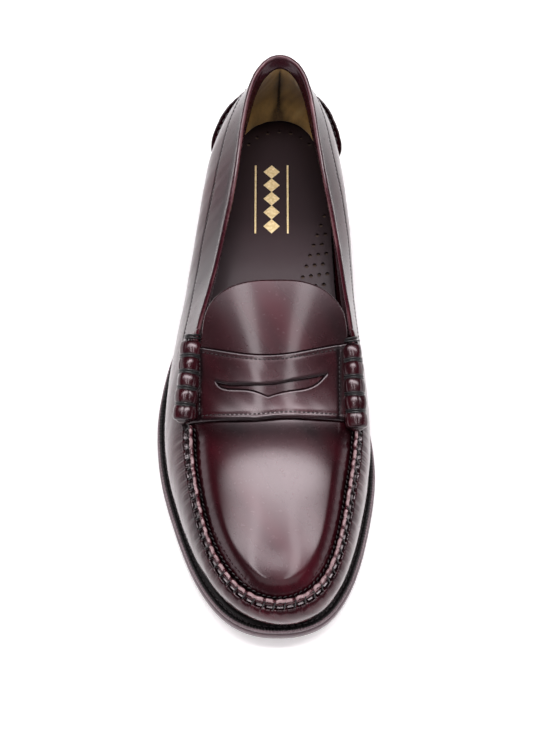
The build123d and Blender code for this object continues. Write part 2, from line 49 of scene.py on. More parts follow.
UPPER_THICK = 1.8
OUTSOLE_THICK = 5.5
WELT_THICK = 3.0
SOLE_TOP = OUTSOLE_THICK + WELT_THICK
LIP_START, LIP_SHARE = 0.84, 0.16
APRON_DIP = 0.9  # in front of the strap
TOE_FULLNESS = 0.6
ROLL_CORE, ROLL_SWELL = 3.5, 1.45
STRAP_ENDS = (-30.6, 35.0)  # where the rows across the strap lie
FAR = 9.0  # a way from the slot at which it has no effect
GRIP_REACH, GRIP_TOP = 1.50, 0.93
DRAWN_TOP = 82.4  # the vamp's top before it is stretched

# ---------------------------------------------------------------- the last, as in the part's own source
# Feather line x, y; top edge x, y, z; swell low down and high up;
# how far the high swell sits below the edge, as a share of the rise.
STATIONS = [
    (6.5, 142.6, 7.3, 137.8, 84.3, 5.0, 3.0, 0.40),
    (-14.0, 133.5, -5.4, 128.0, 80.8, 6.5, 6.0, 0.38),
    (-24.0, 110.0, -11.8, 103.0, 72.0, 10.5, 9.5, 0.36),
    (-26.8, 80.0, -14.8, 79.0, 64.5, 14.0, 13.0, 0.38),
    (-29.8, 48.0, -20.0, 49.0, 60.4, 15.0, 13.5, 0.38),
    (-36.8, 14.0, -26.0, 15.0, 63.0, 12.0, 11.0, 0.36),
    (-45.0, -20.0, -32.6, -18.0, 64.5, 7.0, 9.0, 0.30),
    (-47.6, -54.0, -36.4, -54.0, 48.8, 4.0, 8.5, 0.14),
    (-41.0, -85.0, -33.8, -84.4, 42.8, 3.5, 6.6, 0.08),
    (-30.0, -113.0, -26.4, -113.4, 38.6, 3.2, 5.8, 0.06),
    (-13.2, -134.4, -12.6, -134.0, 36.8, 4.0, 5.8, 0.05),
    (7.0, -142.6, 5.5, -141.2, 36.3, 4.4, 5.6, 0.05),
    (26.3, -135.6, 24.2, -134.4, 36.7, 4.0, 6.0, 0.05),
    (39.0, -112.5, 35.6, -113.3, 38.8, 3.0, 6.0, 0.06),
    (46.2, -84.0, 41.4, -84.4, 42.8, 3.0, 6.5, 0.08),
    (48.8, -54.0, 44.6, -55.0, 48.8, 3.5, 6.5, 0.14),
    (45.5, -20.0, 41.6, -18.0, 64.5, 6.0, 6.0, 0.30),
    (39.5, 14.0, 38.3, 13.0, 63.0, 8.5, 7.0, 0.34),
    (36.5, 48.0, 34.3, 48.0, 60.4, 11.0, 10.0, 0.36),
    (35.8, 80.0, 29.2, 79.0, 64.5, 10.5, 11.0, 0.36),
    (35.5, 110.0, 25.4, 103.0, 72.0, 6.5, 8.0, 0.36),
    (26.6, 133.5, 19.8, 128.0, 80.8, 5.5, 5.5, 0.38),
]
COUNT = len(STATIONS)
OUTSOLE = [
    (7.0, 147.2), (-12.0, 141.0), (-24.5, 120.0), (-28.5, 90.0), (-31.0, 60.0), (-37.0, 28.0), (-47.0, 3.5),
    (-52.6, -19.0), (-54.0, -38.0), (-51.2, -64.0), (-43.4, -92.0), (-33.4, -117.6), (-19.8, -137.4),
    (-5.4, -145.8), (6.0, -147.2), (17.6, -145.9), (31.2, -137.8), (42.6, -117.8), (49.8, -92.0),
    (54.0, -64.0), (52.4, -38.0), (47.5, -12.0), (42.0, 16.0), (38.8, 46.0), (39.0, 80.0), (38.5, 110.0),
    (28.0, 138.5),
]
ROCKER = [
    (-147.2, 10.0), (-130.0, 6.6), (-110.0, 3.4), (-85.0, 1.0), (-60.0, 0.0), (-35.0, 0.3), (-10.0, 3.0),
    (15.0, 8.2), (40.0, 14.2), (62.0, 18.2), (85.0, 19.6), (147.2, 20.4),
]
# y; height of the middle; fall by the square of the way aside; how much flatter the middle is.
CROWN = [
    (-150.0, 31.0, 0.0140, 0.60), (-141.0, 37.4, 0.0130, 0.60), (-134.0, 42.6, 0.0120, 0.60),
    (-126.0, 45.6, 0.0105, 0.60), (-112.0, 48.9, 0.0095, 0.60), (-98.0, 51.9, 0.0087, 0.60),
    (-84.0, 54.7, 0.0078, 0.60), (-70.0, 57.0, 0.0072, 0.50), (-58.0, 58.9, 0.0066, 0.38),
    (-45.0, 62.4, 0.0056, 0.15), (-32.0, 67.0, 0.0046, 0.0), (-10.0, 76.0, 0.0028, 0.0),
    (8.0, 82.0, 0.0020, 0.0),
]
APRON_MIDDLE = 4.2
APRON_HALF = 38.0
TONGUE = [
    (-29.5, -20.0), (-27.4, -9.0), (-22.5, -2.0), (-12.0, 3.2), (4.5, 4.6), (21.0, 3.4), (31.5, -2.0),
    (36.6, -9.0), (38.5, -20.0),
]
STRAP_REAR = [
    (-40.0, -21.5), (-26.7, -24.6), (-9.5, -28.2), (4.4, -29.0), (18.2, -27.0), (34.1, -23.2),
    (47.0, -20.5),
]
STRAP_FRONT = [
    (-42.0, -54.6), (-31.8, -55.5), (-16.3, -57.2), (-1.0, -57.6), (9.0, -56.8), (22.0, -56.6),
    (48.0, -54.0),
]
SLOT_REAR = [
    (-23.4, -39.0), (-19.5, -40.3), (-10.9, -41.4), (2.0, -41.6), (13.6, -39.8), (25.0, -37.2),
    (29.6, -35.9),
]
SLOT_FRONT_LEFT = [
    (-23.4, -39.0), (-21.6, -41.4), (-18.7, -42.9), (-11.8, -44.0), (-4.9, -45.2), (1.4, -47.8),
]
SLOT_FRONT_RIGHT = [
    (1.4, -47.8), (7.6, -46.0), (13.6, -44.8), (20.5, -43.2), (25.0, -40.6), (29.6, -35.9),
]
ROLL_AXES = {
    "lateral": ((-34.4, -19.5, 65.6), (-38.0, -56.0, 54.4)),
    "medial": ((40.4, -21.0, 65.2), (43.2, -59.0, 52.6)),
}
ROLL_LOBES = 5
SEAM_START, SEAM_END = 7.1, 14.9
SEAM_PITCH = 4.9
TOP_EDGE = 0.965
HEEL_CUP_REACH = 1.9
COLLAR_ROW = 0.68


def closed_spline(points):
    """A smooth closed curve through the points. It takes the station number."""
    p = np.asarray(points, float)
    n = len(p)
    neighbours = np.roll(np.eye(n), 1, 1) + np.roll(np.eye(n), -1, 1)
    slope = np.linalg.solve(4 * np.eye(n) + neighbours, 3 * (np.roll(p, -1, 0) - np.roll(p, 1, 0)))

    def at(s):
        s = np.asarray(s, float)
        start = np.floor(s).astype(int)
        f = (s - start)[..., None]
        a = start % n
        b = (start + 1) % n
        ends = (1 + 2 * f) * (1 - f) ** 2 * p[a] + f * f * (3 - 2 * f) * p[b]
        return ends + f * (1 - f) ** 2 * slope[a] + f * f * (f - 1) * slope[b]

    return at


def open_spline(knots):
    """A natural cubic through knots of one place and one or more values."""
    table = np.asarray(knots, float)
    x = table[:, 0]
    v = table[:, 1:]
    n = len(x)
    h = np.diff(x)
    system = np.eye(n)
    right = np.zeros_like(v)
    for i in range(1, n - 1):
        system[i, i - 1:i + 2] = h[i - 1], 2 * (h[i - 1] + h[i]), h[i]
        right[i] = 6 * ((v[i + 1] - v[i]) / h[i] - (v[i] - v[i - 1]) / h[i - 1])
    bend = np.linalg.solve(system, right)

    def at(place):
        place = np.asarray(place, float)
        i = np.clip(np.searchsorted(x, place) - 1, 0, n - 2)
        d = (place - x[i])[..., None]
        step = h[i][..., None]
        e = step - d
        straight = (v[i] * e + v[i + 1] * d) / step
        curved = bend[i] * (e ** 3 / step - step * e) + bend[i + 1] * (d ** 3 / step - step * d)
        return straight + curved / 6

    return at


def curve_through(points, count):
    """Points spaced evenly in the parameter along a smooth open curve through the given points."""
    p = np.asarray(points, float)
    run = np.concatenate([[0.0], np.cumsum(np.linalg.norm(np.diff(p, axis=0), axis=1))])
    return open_spline(np.column_stack([run, p]))(np.linspace(0, run[-1], count))


def frame_stretch():
    """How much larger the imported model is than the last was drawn."""
    s = np.linspace(0, len(OUTSOLE), 2000)
    drawn = closed_spline(OUTSOLE)(s)
    drawn_size = drawn.max(axis=0) - drawn.min(axis=0)
    low, high = (np.array(corner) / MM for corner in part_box("outsole"))
    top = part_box("vamp")[1][2] / MM
    return np.array([*((high - low)[:2] / drawn_size), round(top / DRAWN_TOP, 2)])


STRETCH = frame_stretch()


def stretched(table, axes):
    factor = [1.0 if a == "-" else STRETCH["xyz".index(a)] for a in axes]
    return np.asarray(table, float) * factor


station = closed_spline(stretched(STATIONS, "xyxyzxx-"))
outsole_edge = closed_spline(stretched(OUTSOLE, "xy"))
rocker = open_spline(stretched(ROCKER, "yz"))
crown = open_spline(stretched(CROWN, "yz--"))


def sole_height(y):
    return rocker(y)[..., 0]


def unit(v):
    return v / np.maximum(np.linalg.norm(v, axis=-1, keepdims=True), 1e-12)


def outward(s):
    step = unit((station(s + 1e-3) - station(s - 1e-3))[..., :2])
    return np.stack([step[..., 1], -step[..., 0], np.zeros_like(step[..., 0])], -1)


def feather(s):
    q = station(s)
    return np.stack([q[..., 0], q[..., 1], sole_height(q[..., 1]) + SOLE_TOP], -1)


def wall_point(s, t):
    """The upper's outer face: t is 0 at the welt and 1 at the top edge."""
    q = station(s)
    foot = feather(s)
    edge = q[..., 2:5]
    out = outward(s)
    rise = (edge - foot)[..., 2:]
    low = foot + out * q[..., 5:6] + UP * rise * 0.45
    high = edge + out * q[..., 6:7] - UP * rise * q[..., 7:8]
    f = t[..., None]
    return (1 - f) ** 3 * foot + 3 * f * (1 - f) ** 2 * low + 3 * f * f * (1 - f) * high + f ** 3 * edge


def wall_normal(s, t):
    d = 1e-3
    along = wall_point(s + d, t) - wall_point(s - d, t)
    across = wall_point(s, t + d) - wall_point(s, t - d)
    return unit(np.cross(along, across))


def wall(s, t, depth=0.0):
    """A point at a depth under the upper's outer face."""
    s, t, depth = np.broadcast_arrays(*(np.asarray(v, float) for v in (s, t, depth)))
    return wall_point(s, t) - wall_normal(s, t) * depth[..., None]


def apron_height(x, y):
    middle, fall, flat = np.moveaxis(crown(y), -1, 0)
    aside = (x - APRON_MIDDLE * STRETCH[0]) ** 2
    return middle - fall * aside * (1 - flat * (1 - aside / APRON_HALF ** 2))


def smooth_step(value, low, high):
    f = np.clip((np.asarray(value, float) - low) / (high - low), 0.0, 1.0)
    return f * f * (3 - 2 * f)


def bell(value, middle, width):
    return np.exp(-((np.asarray(value, float) - middle) / width) ** 2)


def run_length(path):
    return np.concatenate([[0.0], np.cumsum(np.linalg.norm(np.diff(path, axis=0), axis=1))])


def wobble(value, seed, terms=5, base=1.0):
    """A smooth irregular wave of about unit height that is the same on each run."""
    draw = np.random.RandomState(seed)
    total = 0.0
    for k in range(terms):
        rate = base * (1 + k) * draw.uniform(0.7, 1.3)
        total = total + np.sin(np.asarray(value, float) * rate + draw.uniform(0, 6.28)) / (1 + 0.6 * k)
    return total / 1.6


# ---------------------------------------------------------------- meshes
def grid_faces(rows, columns, wrap_rows=False, wrap_columns=False):
    row_starts = np.arange(rows if wrap_rows else rows - 1)
    column_starts = np.arange(columns if wrap_columns else columns - 1)
    i, j = np.meshgrid(row_starts, column_starts, indexing="ij")
    a = i * columns + j
    b = i * columns + (j + 1) % columns
    c = ((i + 1) % rows) * columns + (j + 1) % columns
    d = ((i + 1) % rows) * columns + j
    return np.stack([a, b, c, d], -1).reshape(-1, 4)


def weld(points, faces, tolerance=1e-3):
    """Joins points that coincide and drops the faces that vanish. A point's fourth value is its tone."""
    keys = np.round(points[:, :3] / tolerance).astype(np.int64)
    _, first, back = np.unique(keys, axis=0, return_index=True, return_inverse=True)
    joined = back.reshape(-1)[faces]
    kept = []
    for face in joined.tolist():
        ring = [v for k, v in enumerate(face) if v != face[k - 1]]
        if len(ring) > 2:
            kept.append(ring)
    return points[first], kept


def vertex_normals(points, faces):
    normals = np.zeros((len(points), 3))
    quads = np.array([face if len(face) == 4 else [*face, face[2]] for face in faces])
    corners = points[quads, :3]
    face_normals = np.cross(corners[:, 2] - corners[:, 0], corners[:, 3] - corners[:, 1])
    flat = np.linalg.norm(face_normals, axis=1) < 1e-12
    face_normals[flat] = np.cross(corners[flat, 1] - corners[flat, 0], corners[flat, 2] - corners[flat, 0])
    for k in range(4):
        np.add.at(normals, quads[:, k], face_normals)
    return unit(normals)


def thickened(points, faces, thickness, edge_tone=None, rim=3):
    """A closed leather sheet under a surface, with rounded cut edges."""
    normals = vertex_normals(points, faces)
    count = len(points)
    under = points.copy()
    under[:, :3] -= normals * thickness
    sides = {}
    for face in faces:
        for k in range(len(face)):
            sides[(face[k - 1], face[k])] = True
    border = [(a, b) for a, b in sides if (b, a) not in sides]
    aside = np.zeros((count, 3))
    for a, b in border:
        step = points[b, :3] - points[a, :3]
        aside[a] += np.cross(step, normals[a])
        aside[b] += np.cross(step, normals[b])
    rimmed = sorted({v for pair in border for v in pair})
    place = {v: k for k, v in enumerate(rimmed)}
    v = np.array(rimmed)
    away = unit(aside[v])
    rings = []
    for k in range(1, rim + 1):
        turn = math.pi * k / (rim + 1)
        ring = points[v].copy()
        outwards = away * math.sin(turn) * thickness / 2
        ring[:, :3] += outwards - normals[v] * (1 - math.cos(turn)) * thickness / 2
        if edge_tone is not None:
            ring[:, 3] = edge_tone
        rings.append(ring)
    everything = np.concatenate([points, under, *rings])
    all_faces = [list(face) for face in faces] + [[i + count for i in reversed(face)] for face in faces]

    def level(vertex, k):
        if k == 0:
            return vertex
        if k == rim + 1:
            return vertex + count
        return 2 * count + (k - 1) * len(rimmed) + place[vertex]

    for a, b in border:
        for k in range(rim + 1):
            all_faces.append([level(b, k), level(a, k), level(a, k + 1), level(b, k + 1)])
    return everything, all_faces


def make_piece(name, points, faces, material, replaced=()):
    """A piece of the object from points in millimetres. A point's fourth value is its tone."""
    points = np.asarray(points, float)
    mesh = bpy.data.meshes.new(name)
    mesh.from_pydata((points[:, :3] * MM).tolist(), [], [list(map(int, face)) for face in faces])
    tone = points[:, 3] if points.shape[1] > 3 else np.full(len(points), 0.5)
    layer = mesh.attributes.new("tone", "FLOAT", "POINT")
    layer.data.foreach_set("value", tone.astype(np.float32))
    mesh.materials.append(material)
    mesh.update()
    shape = bmesh.new()
    shape.from_mesh(mesh)
    bmesh.ops.recalc_face_normals(shape, faces=shape.faces)
    shape.to_mesh(mesh)
    shape.free()
    mesh.polygons.foreach_set("use_smooth", [True] * len(mesh.polygons))
    piece = bpy.data.objects.new(name, mesh)
    bpy.context.scene.collection.objects.link(piece)
    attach(piece, "root")
    if replaced:
        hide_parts(*replaced)
    return piece


def with_tone(points, tone):
    points = np.asarray(points, float)
    tone = np.broadcast_to(np.asarray(tone, float), points.shape[:-1])
    return np.concatenate([points, tone[..., None]], -1)


def swept(sections, closed=False):
    """A closed solid through rings of points, one ring a row. Open ends are capped."""
    rows, columns = sections.shape[:2]
    points = sections.reshape(-1, sections.shape[-1])
    faces = grid_faces(rows, columns, wrap_rows=closed, wrap_columns=True).tolist()
    if not closed:
        faces.append(list(range(columns)))
        faces.append([(rows - 1) * columns + k for k in range(columns)])
    return points, faces


def joined(parts):
    """Several meshes as one."""
    points = []
    faces = []
    start = 0
    for part_points, part_faces in parts:
        points.append(part_points)
        faces += [[i + start for i in face] for face in part_faces]
        start += len(part_points)
    return np.concatenate(points), faces


def tube_frames(path, closed=False):
    """Two directions across a path, turned as little as possible along it."""
    ahead = np.roll(path, -1, 0) - np.roll(path, 1, 0)
    if not closed:
        ahead[0] = path[1] - path[0]
        ahead[-1] = path[-1] - path[-2]
    ahead = unit(ahead)
    side = np.zeros_like(ahead)
    guess = np.cross(ahead[0], UP)
    if np.linalg.norm(guess) < 1e-3:
        guess = np.array([1.0, 0.0, 0.0])
    for k, direction in enumerate(ahead):
        guess = guess - direction * np.dot(guess, direction)
        guess = guess / np.linalg.norm(guess)
        side[k] = guess
    return side, np.cross(ahead, side)


def cord(path, radius, plies=0, lay=3.0, around=10, closed=False, tone=0.5):
    """A thread along a path. Plies give it a laid twist, one turn every lay millimetres."""
    path = np.asarray(path, float)
    side, over = tube_frames(path, closed)
    run = run_length(path)
    angle = np.linspace(0, 2 * math.pi, around, endpoint=False)[None, :]
    size = np.full((len(path), around), radius)
    if plies:
        twist = angle * plies / 2 + (run / lay * math.pi)[:, None]
        size = radius * (0.80 + 0.20 * np.abs(np.cos(twist)))
    if not closed:
        ends = np.minimum(run, run[-1] - run)[:, None]
        size = size * np.sqrt(np.clip(1 - (1 - np.clip(ends / radius, 0, 1)) ** 2, 0.02, 1))
    circle = side[:, None] * np.cos(angle)[..., None] + over[:, None] * np.sin(angle)[..., None]
    ring = path[:, None] + circle * size[..., None]
    return swept(with_tone(ring, tone), closed)


def arched_stitch(a, b, normal, radius, height, rings=7, around=8):
    """A stitch that leaves the leather at a, lies over it and goes back in at b."""
    share = np.linspace(0, 1, rings)[:, None]
    rise = np.sin(share * math.pi) ** 0.5
    path = a + (b - a) * share + normal * (height * rise - radius * (1 - rise))
    return cord(path, radius, around=around)


def along_path(values, run, place):
    """The values of a path's points, read at a length along it."""
    return np.array([np.interp(place, run, values[:, k]) for k in range(3)])


def stitch_row(path, normals, pitch, length, radius, height, slant=0.0, first=0.5):
    """Arched stitches along a path."""
    run = run_length(path)
    parts = []
    for middle in np.arange(first * pitch, run[-1] - length / 2, pitch):
        ends = [along_path(path, run, v) for v in (middle - length / 2, middle + length / 2)]
        normal = unit(along_path(normals, run, middle))
        across = unit(np.cross(normal, ends[1] - ends[0])) * slant
        parts.append(arched_stitch(ends[0] - across, ends[1] + across, normal, radius, height))
    return joined(parts)


# ---------------------------------------------------------------- materials
def new_material(name):
    material = bpy.data.materials.new(name)
    material.use_nodes = True
    return material, material.node_tree.nodes, material.node_tree.links


def noise_texture(nodes, links, scale, detail=4.0, roughness=0.6, stretch=(1, 1, 1)):
    place = nodes.new("ShaderNodeTexCoord")
    mapping = nodes.new("ShaderNodeMapping")
    mapping.inputs["Scale"].default_value = stretch
    links.new(place.outputs["Object"], mapping.inputs["Vector"])
    texture = nodes.new("ShaderNodeTexNoise")
    texture.inputs["Scale"].default_value = scale
    texture.inputs["Detail"].default_value = detail
    texture.inputs["Roughness"].default_value = roughness
    links.new(mapping.outputs["Vector"], texture.inputs["Vector"])
    return texture.outputs["Fac"]


def ramp(nodes, links, value, stops):
    node = nodes.new("ShaderNodeValToRGB")
    elements = node.color_ramp.elements
    elements[0].position, elements[0].color = stops[0][0], (*stops[0][1], 1)
    elements[1].position, elements[1].color = stops[-1][0], (*stops[-1][1], 1)
    for position, color in stops[1:-1]:
        elements.new(position).color = (*color, 1)
    links.new(value, node.inputs["Fac"])
    return node.outputs["Color"]


def mixed(nodes, links, factor, a, b, blend="MIX"):
    node = nodes.new("ShaderNodeMix")
    node.data_type = "RGBA"
    node.blend_type = blend
    for socket, value in ((node.inputs[0], factor), (node.inputs[6], a), (node.inputs[7], b)):
        if isinstance(value, (int, float)):
            socket.default_value = value
        elif isinstance(value, tuple):
            socket.default_value = (*value, 1)
        else:
            links.new(value, socket)
    return node.outputs[2]


def math_node(nodes, links, operation, *values):
    node = nodes.new("ShaderNodeMath")
    node.operation = operation
    for socket, value in zip(node.inputs, values):
        if isinstance(value, (int, float)):
            socket.default_value = value
        else:
            links.new(value, socket)
    return node.outputs[0]


def bump(nodes, links, layers):
    """Bumps laid over each other: (height, strength, distance in metres)."""
    last = None
    for height, strength, distance in layers:
        node = nodes.new("ShaderNodeBump")
        node.inputs["Strength"].default_value = strength
        node.inputs["Distance"].default_value = distance
        links.new(height, node.inputs["Height"])
        if last is not None:
            links.new(last, node.inputs["Normal"])
        last = node.outputs["Normal"]
    return last


def map_range(nodes, links, value, low, high, from_low=0.0, from_high=1.0):
    node = nodes.new("ShaderNodeMapRange")
    node.inputs["From Min"].default_value = from_low
    node.inputs["From Max"].default_value = from_high
    node.inputs["To Min"].default_value = low
    node.inputs["To Max"].default_value = high
    links.new(value, node.inputs["Value"])
    return node.outputs["Result"]


def tone_value(nodes):
    node = nodes.new("ShaderNodeAttribute")
    node.attribute_name = "tone"
    return node.outputs["Fac"]


def polished_leather(name, dark, middle, light, rough=0.26, coat=0.50, grain=0.012):
    """Brushed-off calf: the tone runs from the dark, which is painted shade, through the colour to the
    light, which is painted highlight; grain flecks use the dark too.
    """
    material, nodes, links = new_material(name)
    shader = nodes["Principled BSDF"]
    cloud = noise_texture(nodes, links, 22.0, 2.0, 0.5)
    fine = noise_texture(nodes, links, 420.0, 5.0, 0.6)
    pores = nodes.new("ShaderNodeTexVoronoi")
    pores.inputs["Scale"].default_value = 1700.0
    place = nodes.new("ShaderNodeTexCoord")
    links.new(place.outputs["Object"], pores.inputs["Vector"])
    cloudy = map_range(nodes, links, cloud, -0.12, 0.12, 0.3, 0.7)
    tone = math_node(nodes, links, "ADD", cloudy, tone_value(nodes))
    rich = tuple(2.0 * v for v in middle)
    # Tone to colour: painted shade at the dark end, painted highlight at the light end; the cloud adds
    # random tone.
    color = ramp(nodes, links, tone, [(0.0, dark), (0.5, middle), (0.76, rich), (1.0, light)])
    flecks = ramp(nodes, links, fine, [(0.3, dark), (0.75, middle)])
    links.new(mixed(nodes, links, 0.12, color, flecks), shader.inputs["Base Color"])
    links.new(map_range(nodes, links, fine, rough - 0.04, rough + 0.06), shader.inputs["Roughness"])
    shader.inputs["Specular IOR Level"].default_value = 0.34
    shader.inputs["Specular Tint"].default_value = (1.0, 0.82, 0.88, 1)
    shader.inputs["Coat Weight"].default_value = coat
    shader.inputs["Coat Roughness"].default_value = 0.10
    shader.inputs["Coat IOR"].default_value = 1.45
    normal = bump(nodes, links, [(fine, 0.06, 0.0001), (pores.outputs["Distance"], grain, 0.00003)])
    links.new(normal, shader.inputs["Normal"])
    return material


def suede():
    """Brushed tan nap, with the painted shade and light that the tone brings."""
    material, nodes, links = new_material("tan_suede")
    shader = nodes["Principled BSDF"]
    nap = noise_texture(nodes, links, 900.0, 6.0, 0.75, (1, 1, 0.35))
    patch = noise_texture(nodes, links, 50.0, 3.0)
    shade = math_node(nodes, links, "ADD", map_range(nodes, links, patch, -0.25, 0.25), tone_value(nodes))
    tans = [(0.0, (0.08, 0.042, 0.012)), (0.5, (0.60, 0.37, 0.12)), (1.0, (0.92, 0.66, 0.29))]
    color = ramp(nodes, links, shade, tans)
    fibre = ramp(nodes, links, nap, [(0.3, (0.06, 0.03, 0.012)), (0.7, (0.45, 0.28, 0.11))])
    links.new(mixed(nodes, links, 0.30, color, fibre), shader.inputs["Base Color"])
    links.new(map_range(nodes, links, nap, 0.78, 0.92), shader.inputs["Roughness"])
    shader.inputs["Sheen Weight"].default_value = 0.5
    shader.inputs["Sheen Roughness"].default_value = 0.4
    links.new(bump(nodes, links, [(nap, 0.6, 0.0003), (patch, 0.2, 0.0006)]), shader.inputs["Normal"])
    return material


def thread(name, color, rough=0.45):
    material, nodes, links = new_material(name)
    shader = nodes["Principled BSDF"]
    fibre = noise_texture(nodes, links, 2500.0, 4.0, 0.7, (1, 1, 0.5))
    lighter = tuple(min(1.0, v * 2.2 + 0.01) for v in color)
    links.new(ramp(nodes, links, fibre, [(0.3, color), (0.75, lighter)]), shader.inputs["Base Color"])
    shader.inputs["Roughness"].default_value = rough
    shader.inputs["Coat Weight"].default_value = 0.15
    links.new(bump(nodes, links, [(fibre, 0.5, 0.0001)]), shader.inputs["Normal"])
    return material


def layered_leather(name, dark, light, layer_scale, rough=0.4, coat=0.25):
    """Sole leather seen at its waxed edge: faint level fibres."""
    material, nodes, links = new_material(name)
    shader = nodes["Principled BSDF"]
    fibres = noise_texture(nodes, links, 220.0, 5.0, 0.65, (0.12, 0.12, layer_scale))
    patch = noise_texture(nodes, links, 45.0, 3.0)
    color = mixed(nodes, links, patch, ramp(nodes, links, fibres, [(0.3, dark), (0.7, light)]), dark)
    links.new(color, shader.inputs["Base Color"])
    links.new(map_range(nodes, links, fibres, rough - 0.06, rough + 0.12), shader.inputs["Roughness"])
    shader.inputs["Coat Weight"].default_value = coat
    shader.inputs["Coat Roughness"].default_value = 0.25
    links.new(bump(nodes, links, [(fibres, 0.3, 0.0002), (patch, 0.1, 0.0005)]), shader.inputs["Normal"])
    return material


def welt_leather():
    """Black wheeled top, with the outer edge finished like the sole's."""
    material, nodes, links = new_material("welt_calf")
    shader = nodes["Principled BSDF"]
    fibres = noise_texture(nodes, links, 260.0, 5.0, 0.65, (0.2, 0.2, 3.0))
    edge = ramp(nodes, links, fibres, [(0.3, EDGE_DARK), (0.7, EDGE_LIGHT)])
    top = ramp(nodes, links, fibres, [(0.3, (0.003, 0.003, 0.003)), (0.8, (0.014, 0.012, 0.013))])
    share = map_range(nodes, links, tone_value(nodes), 0.0, 1.0, 0.35, 0.75)
    links.new(mixed(nodes, links, share, top, edge), shader.inputs["Base Color"])
    links.new(map_range(nodes, links, fibres, 0.34, 0.50), shader.inputs["Roughness"])
    links.new(bump(nodes, links, [(fibres, 0.3, 0.0002)]), shader.inputs["Normal"])
    return material


def speckled(name, dark, light, scale, rough, metallic=0.0, strength=0.3):
    """A plain granular or brushed finish."""
    material, nodes, links = new_material(name)
    shader = nodes["Principled BSDF"]
    grains = noise_texture(nodes, links, scale, 5.0)
    links.new(ramp(nodes, links, grains, [(0.3, dark), (0.7, light)]), shader.inputs["Base Color"])
    links.new(map_range(nodes, links, grains, rough - 0.06, rough + 0.08), shader.inputs["Roughness"])
    shader.inputs["Metallic"].default_value = metallic
    links.new(bump(nodes, links, [(grains, strength, 0.0002)]), shader.inputs["Normal"])
    return material


EDGE_DARK = (0.085, 0.055, 0.064)
EDGE_LIGHT = (0.22, 0.155, 0.172)
# Dark end of the oxblood and binding leathers: painted shade, and the colour of the grain flecks. Their
# pale light ends are painted highlight.
SHADE_AND_GRAIN_DARK = (0.004, 0.0015, 0.002)
OXBLOOD = polished_leather("oxblood_calf", SHADE_AND_GRAIN_DARK, (0.034, 0.0028, 0.0060), (0.42, 0.28, 0.29), 0.25)
BINDING = polished_leather("binding_calf", SHADE_AND_GRAIN_DARK, (0.030, 0.0045, 0.008), (0.26, 0.12, 0.13), 0.26)
LINING = polished_leather(
    "lining_calf", (0.008, 0.002, 0.003), (0.034, 0.006, 0.009), (0.07, 0.018, 0.021), 0.36, 0.12
)
SOCK = polished_leather(
    "sock_calf", (0.008, 0.003, 0.0035), (0.021, 0.0052, 0.0065), (0.050, 0.020, 0.022), 0.46, 0.05
)
SUEDE = suede()
WAXED_THREAD = thread("waxed_thread", (0.004, 0.0035, 0.004), 0.38)
FINE_THREAD = thread("fine_thread", (0.008, 0.005, 0.006))
WELT = welt_leather()
SOLE_EDGE = layered_leather("sole_edge", EDGE_DARK, EDGE_LIGHT, 4.0)
HEEL_STACK = layered_leather("heel_stack", (0.020, 0.009, 0.009), (0.070, 0.030, 0.028), 6.0)
RUBBER = speckled("top_piece_rubber", (0.008, 0.007, 0.007), (0.022, 0.019, 0.019), 900.0, 0.6)
BOARD = speckled("fibre_board", (0.040, 0.022, 0.014), (0.090, 0.055, 0.035), 400.0, 0.8)
CORK = speckled("cork", (0.18, 0.09, 0.04), (0.50, 0.32, 0.17), 300.0, 0.85, 0.0, 0.6)
STEEL = speckled("spring_steel", (0.42, 0.42, 0.43), (0.58, 0.58, 0.60), 700.0, 0.35, 1.0, 0.1)
FOIL = speckled("gold_foil", (0.62, 0.46, 0.20), (0.95, 0.80, 0.48), 800.0, 0.42, 0.55, 0.15)


# ---------------------------------------------------------------- the upper
def seam_phase(s):
    """How many stitch pitches along the moccasin seam a station lies."""
    dense = np.linspace(SEAM_START - 0.6, SEAM_END + 0.6, 1500)
    run = run_length(wall(dense, 1.0))
    count = round((np.interp(SEAM_END, dense, run) - np.interp(SEAM_START, dense, run)) / SEAM_PITCH)
    scale = count / (np.interp(SEAM_END, dense, run) - np.interp(SEAM_START, dense, run))
    return (np.interp(s, dense, run) - np.interp(SEAM_START, dense, run)) * scale


def fold(phase, width=0.13):
    """1 at each stitch, 0 between."""
    away = np.abs((phase + 0.5) % 1.0 - 0.5)
    return np.exp(-(away / width) ** 2)


def seam_mask(s):
    return smooth_step(s, 6.9, 7.15) * (1 - smooth_step(s, 14.85, 15.1))


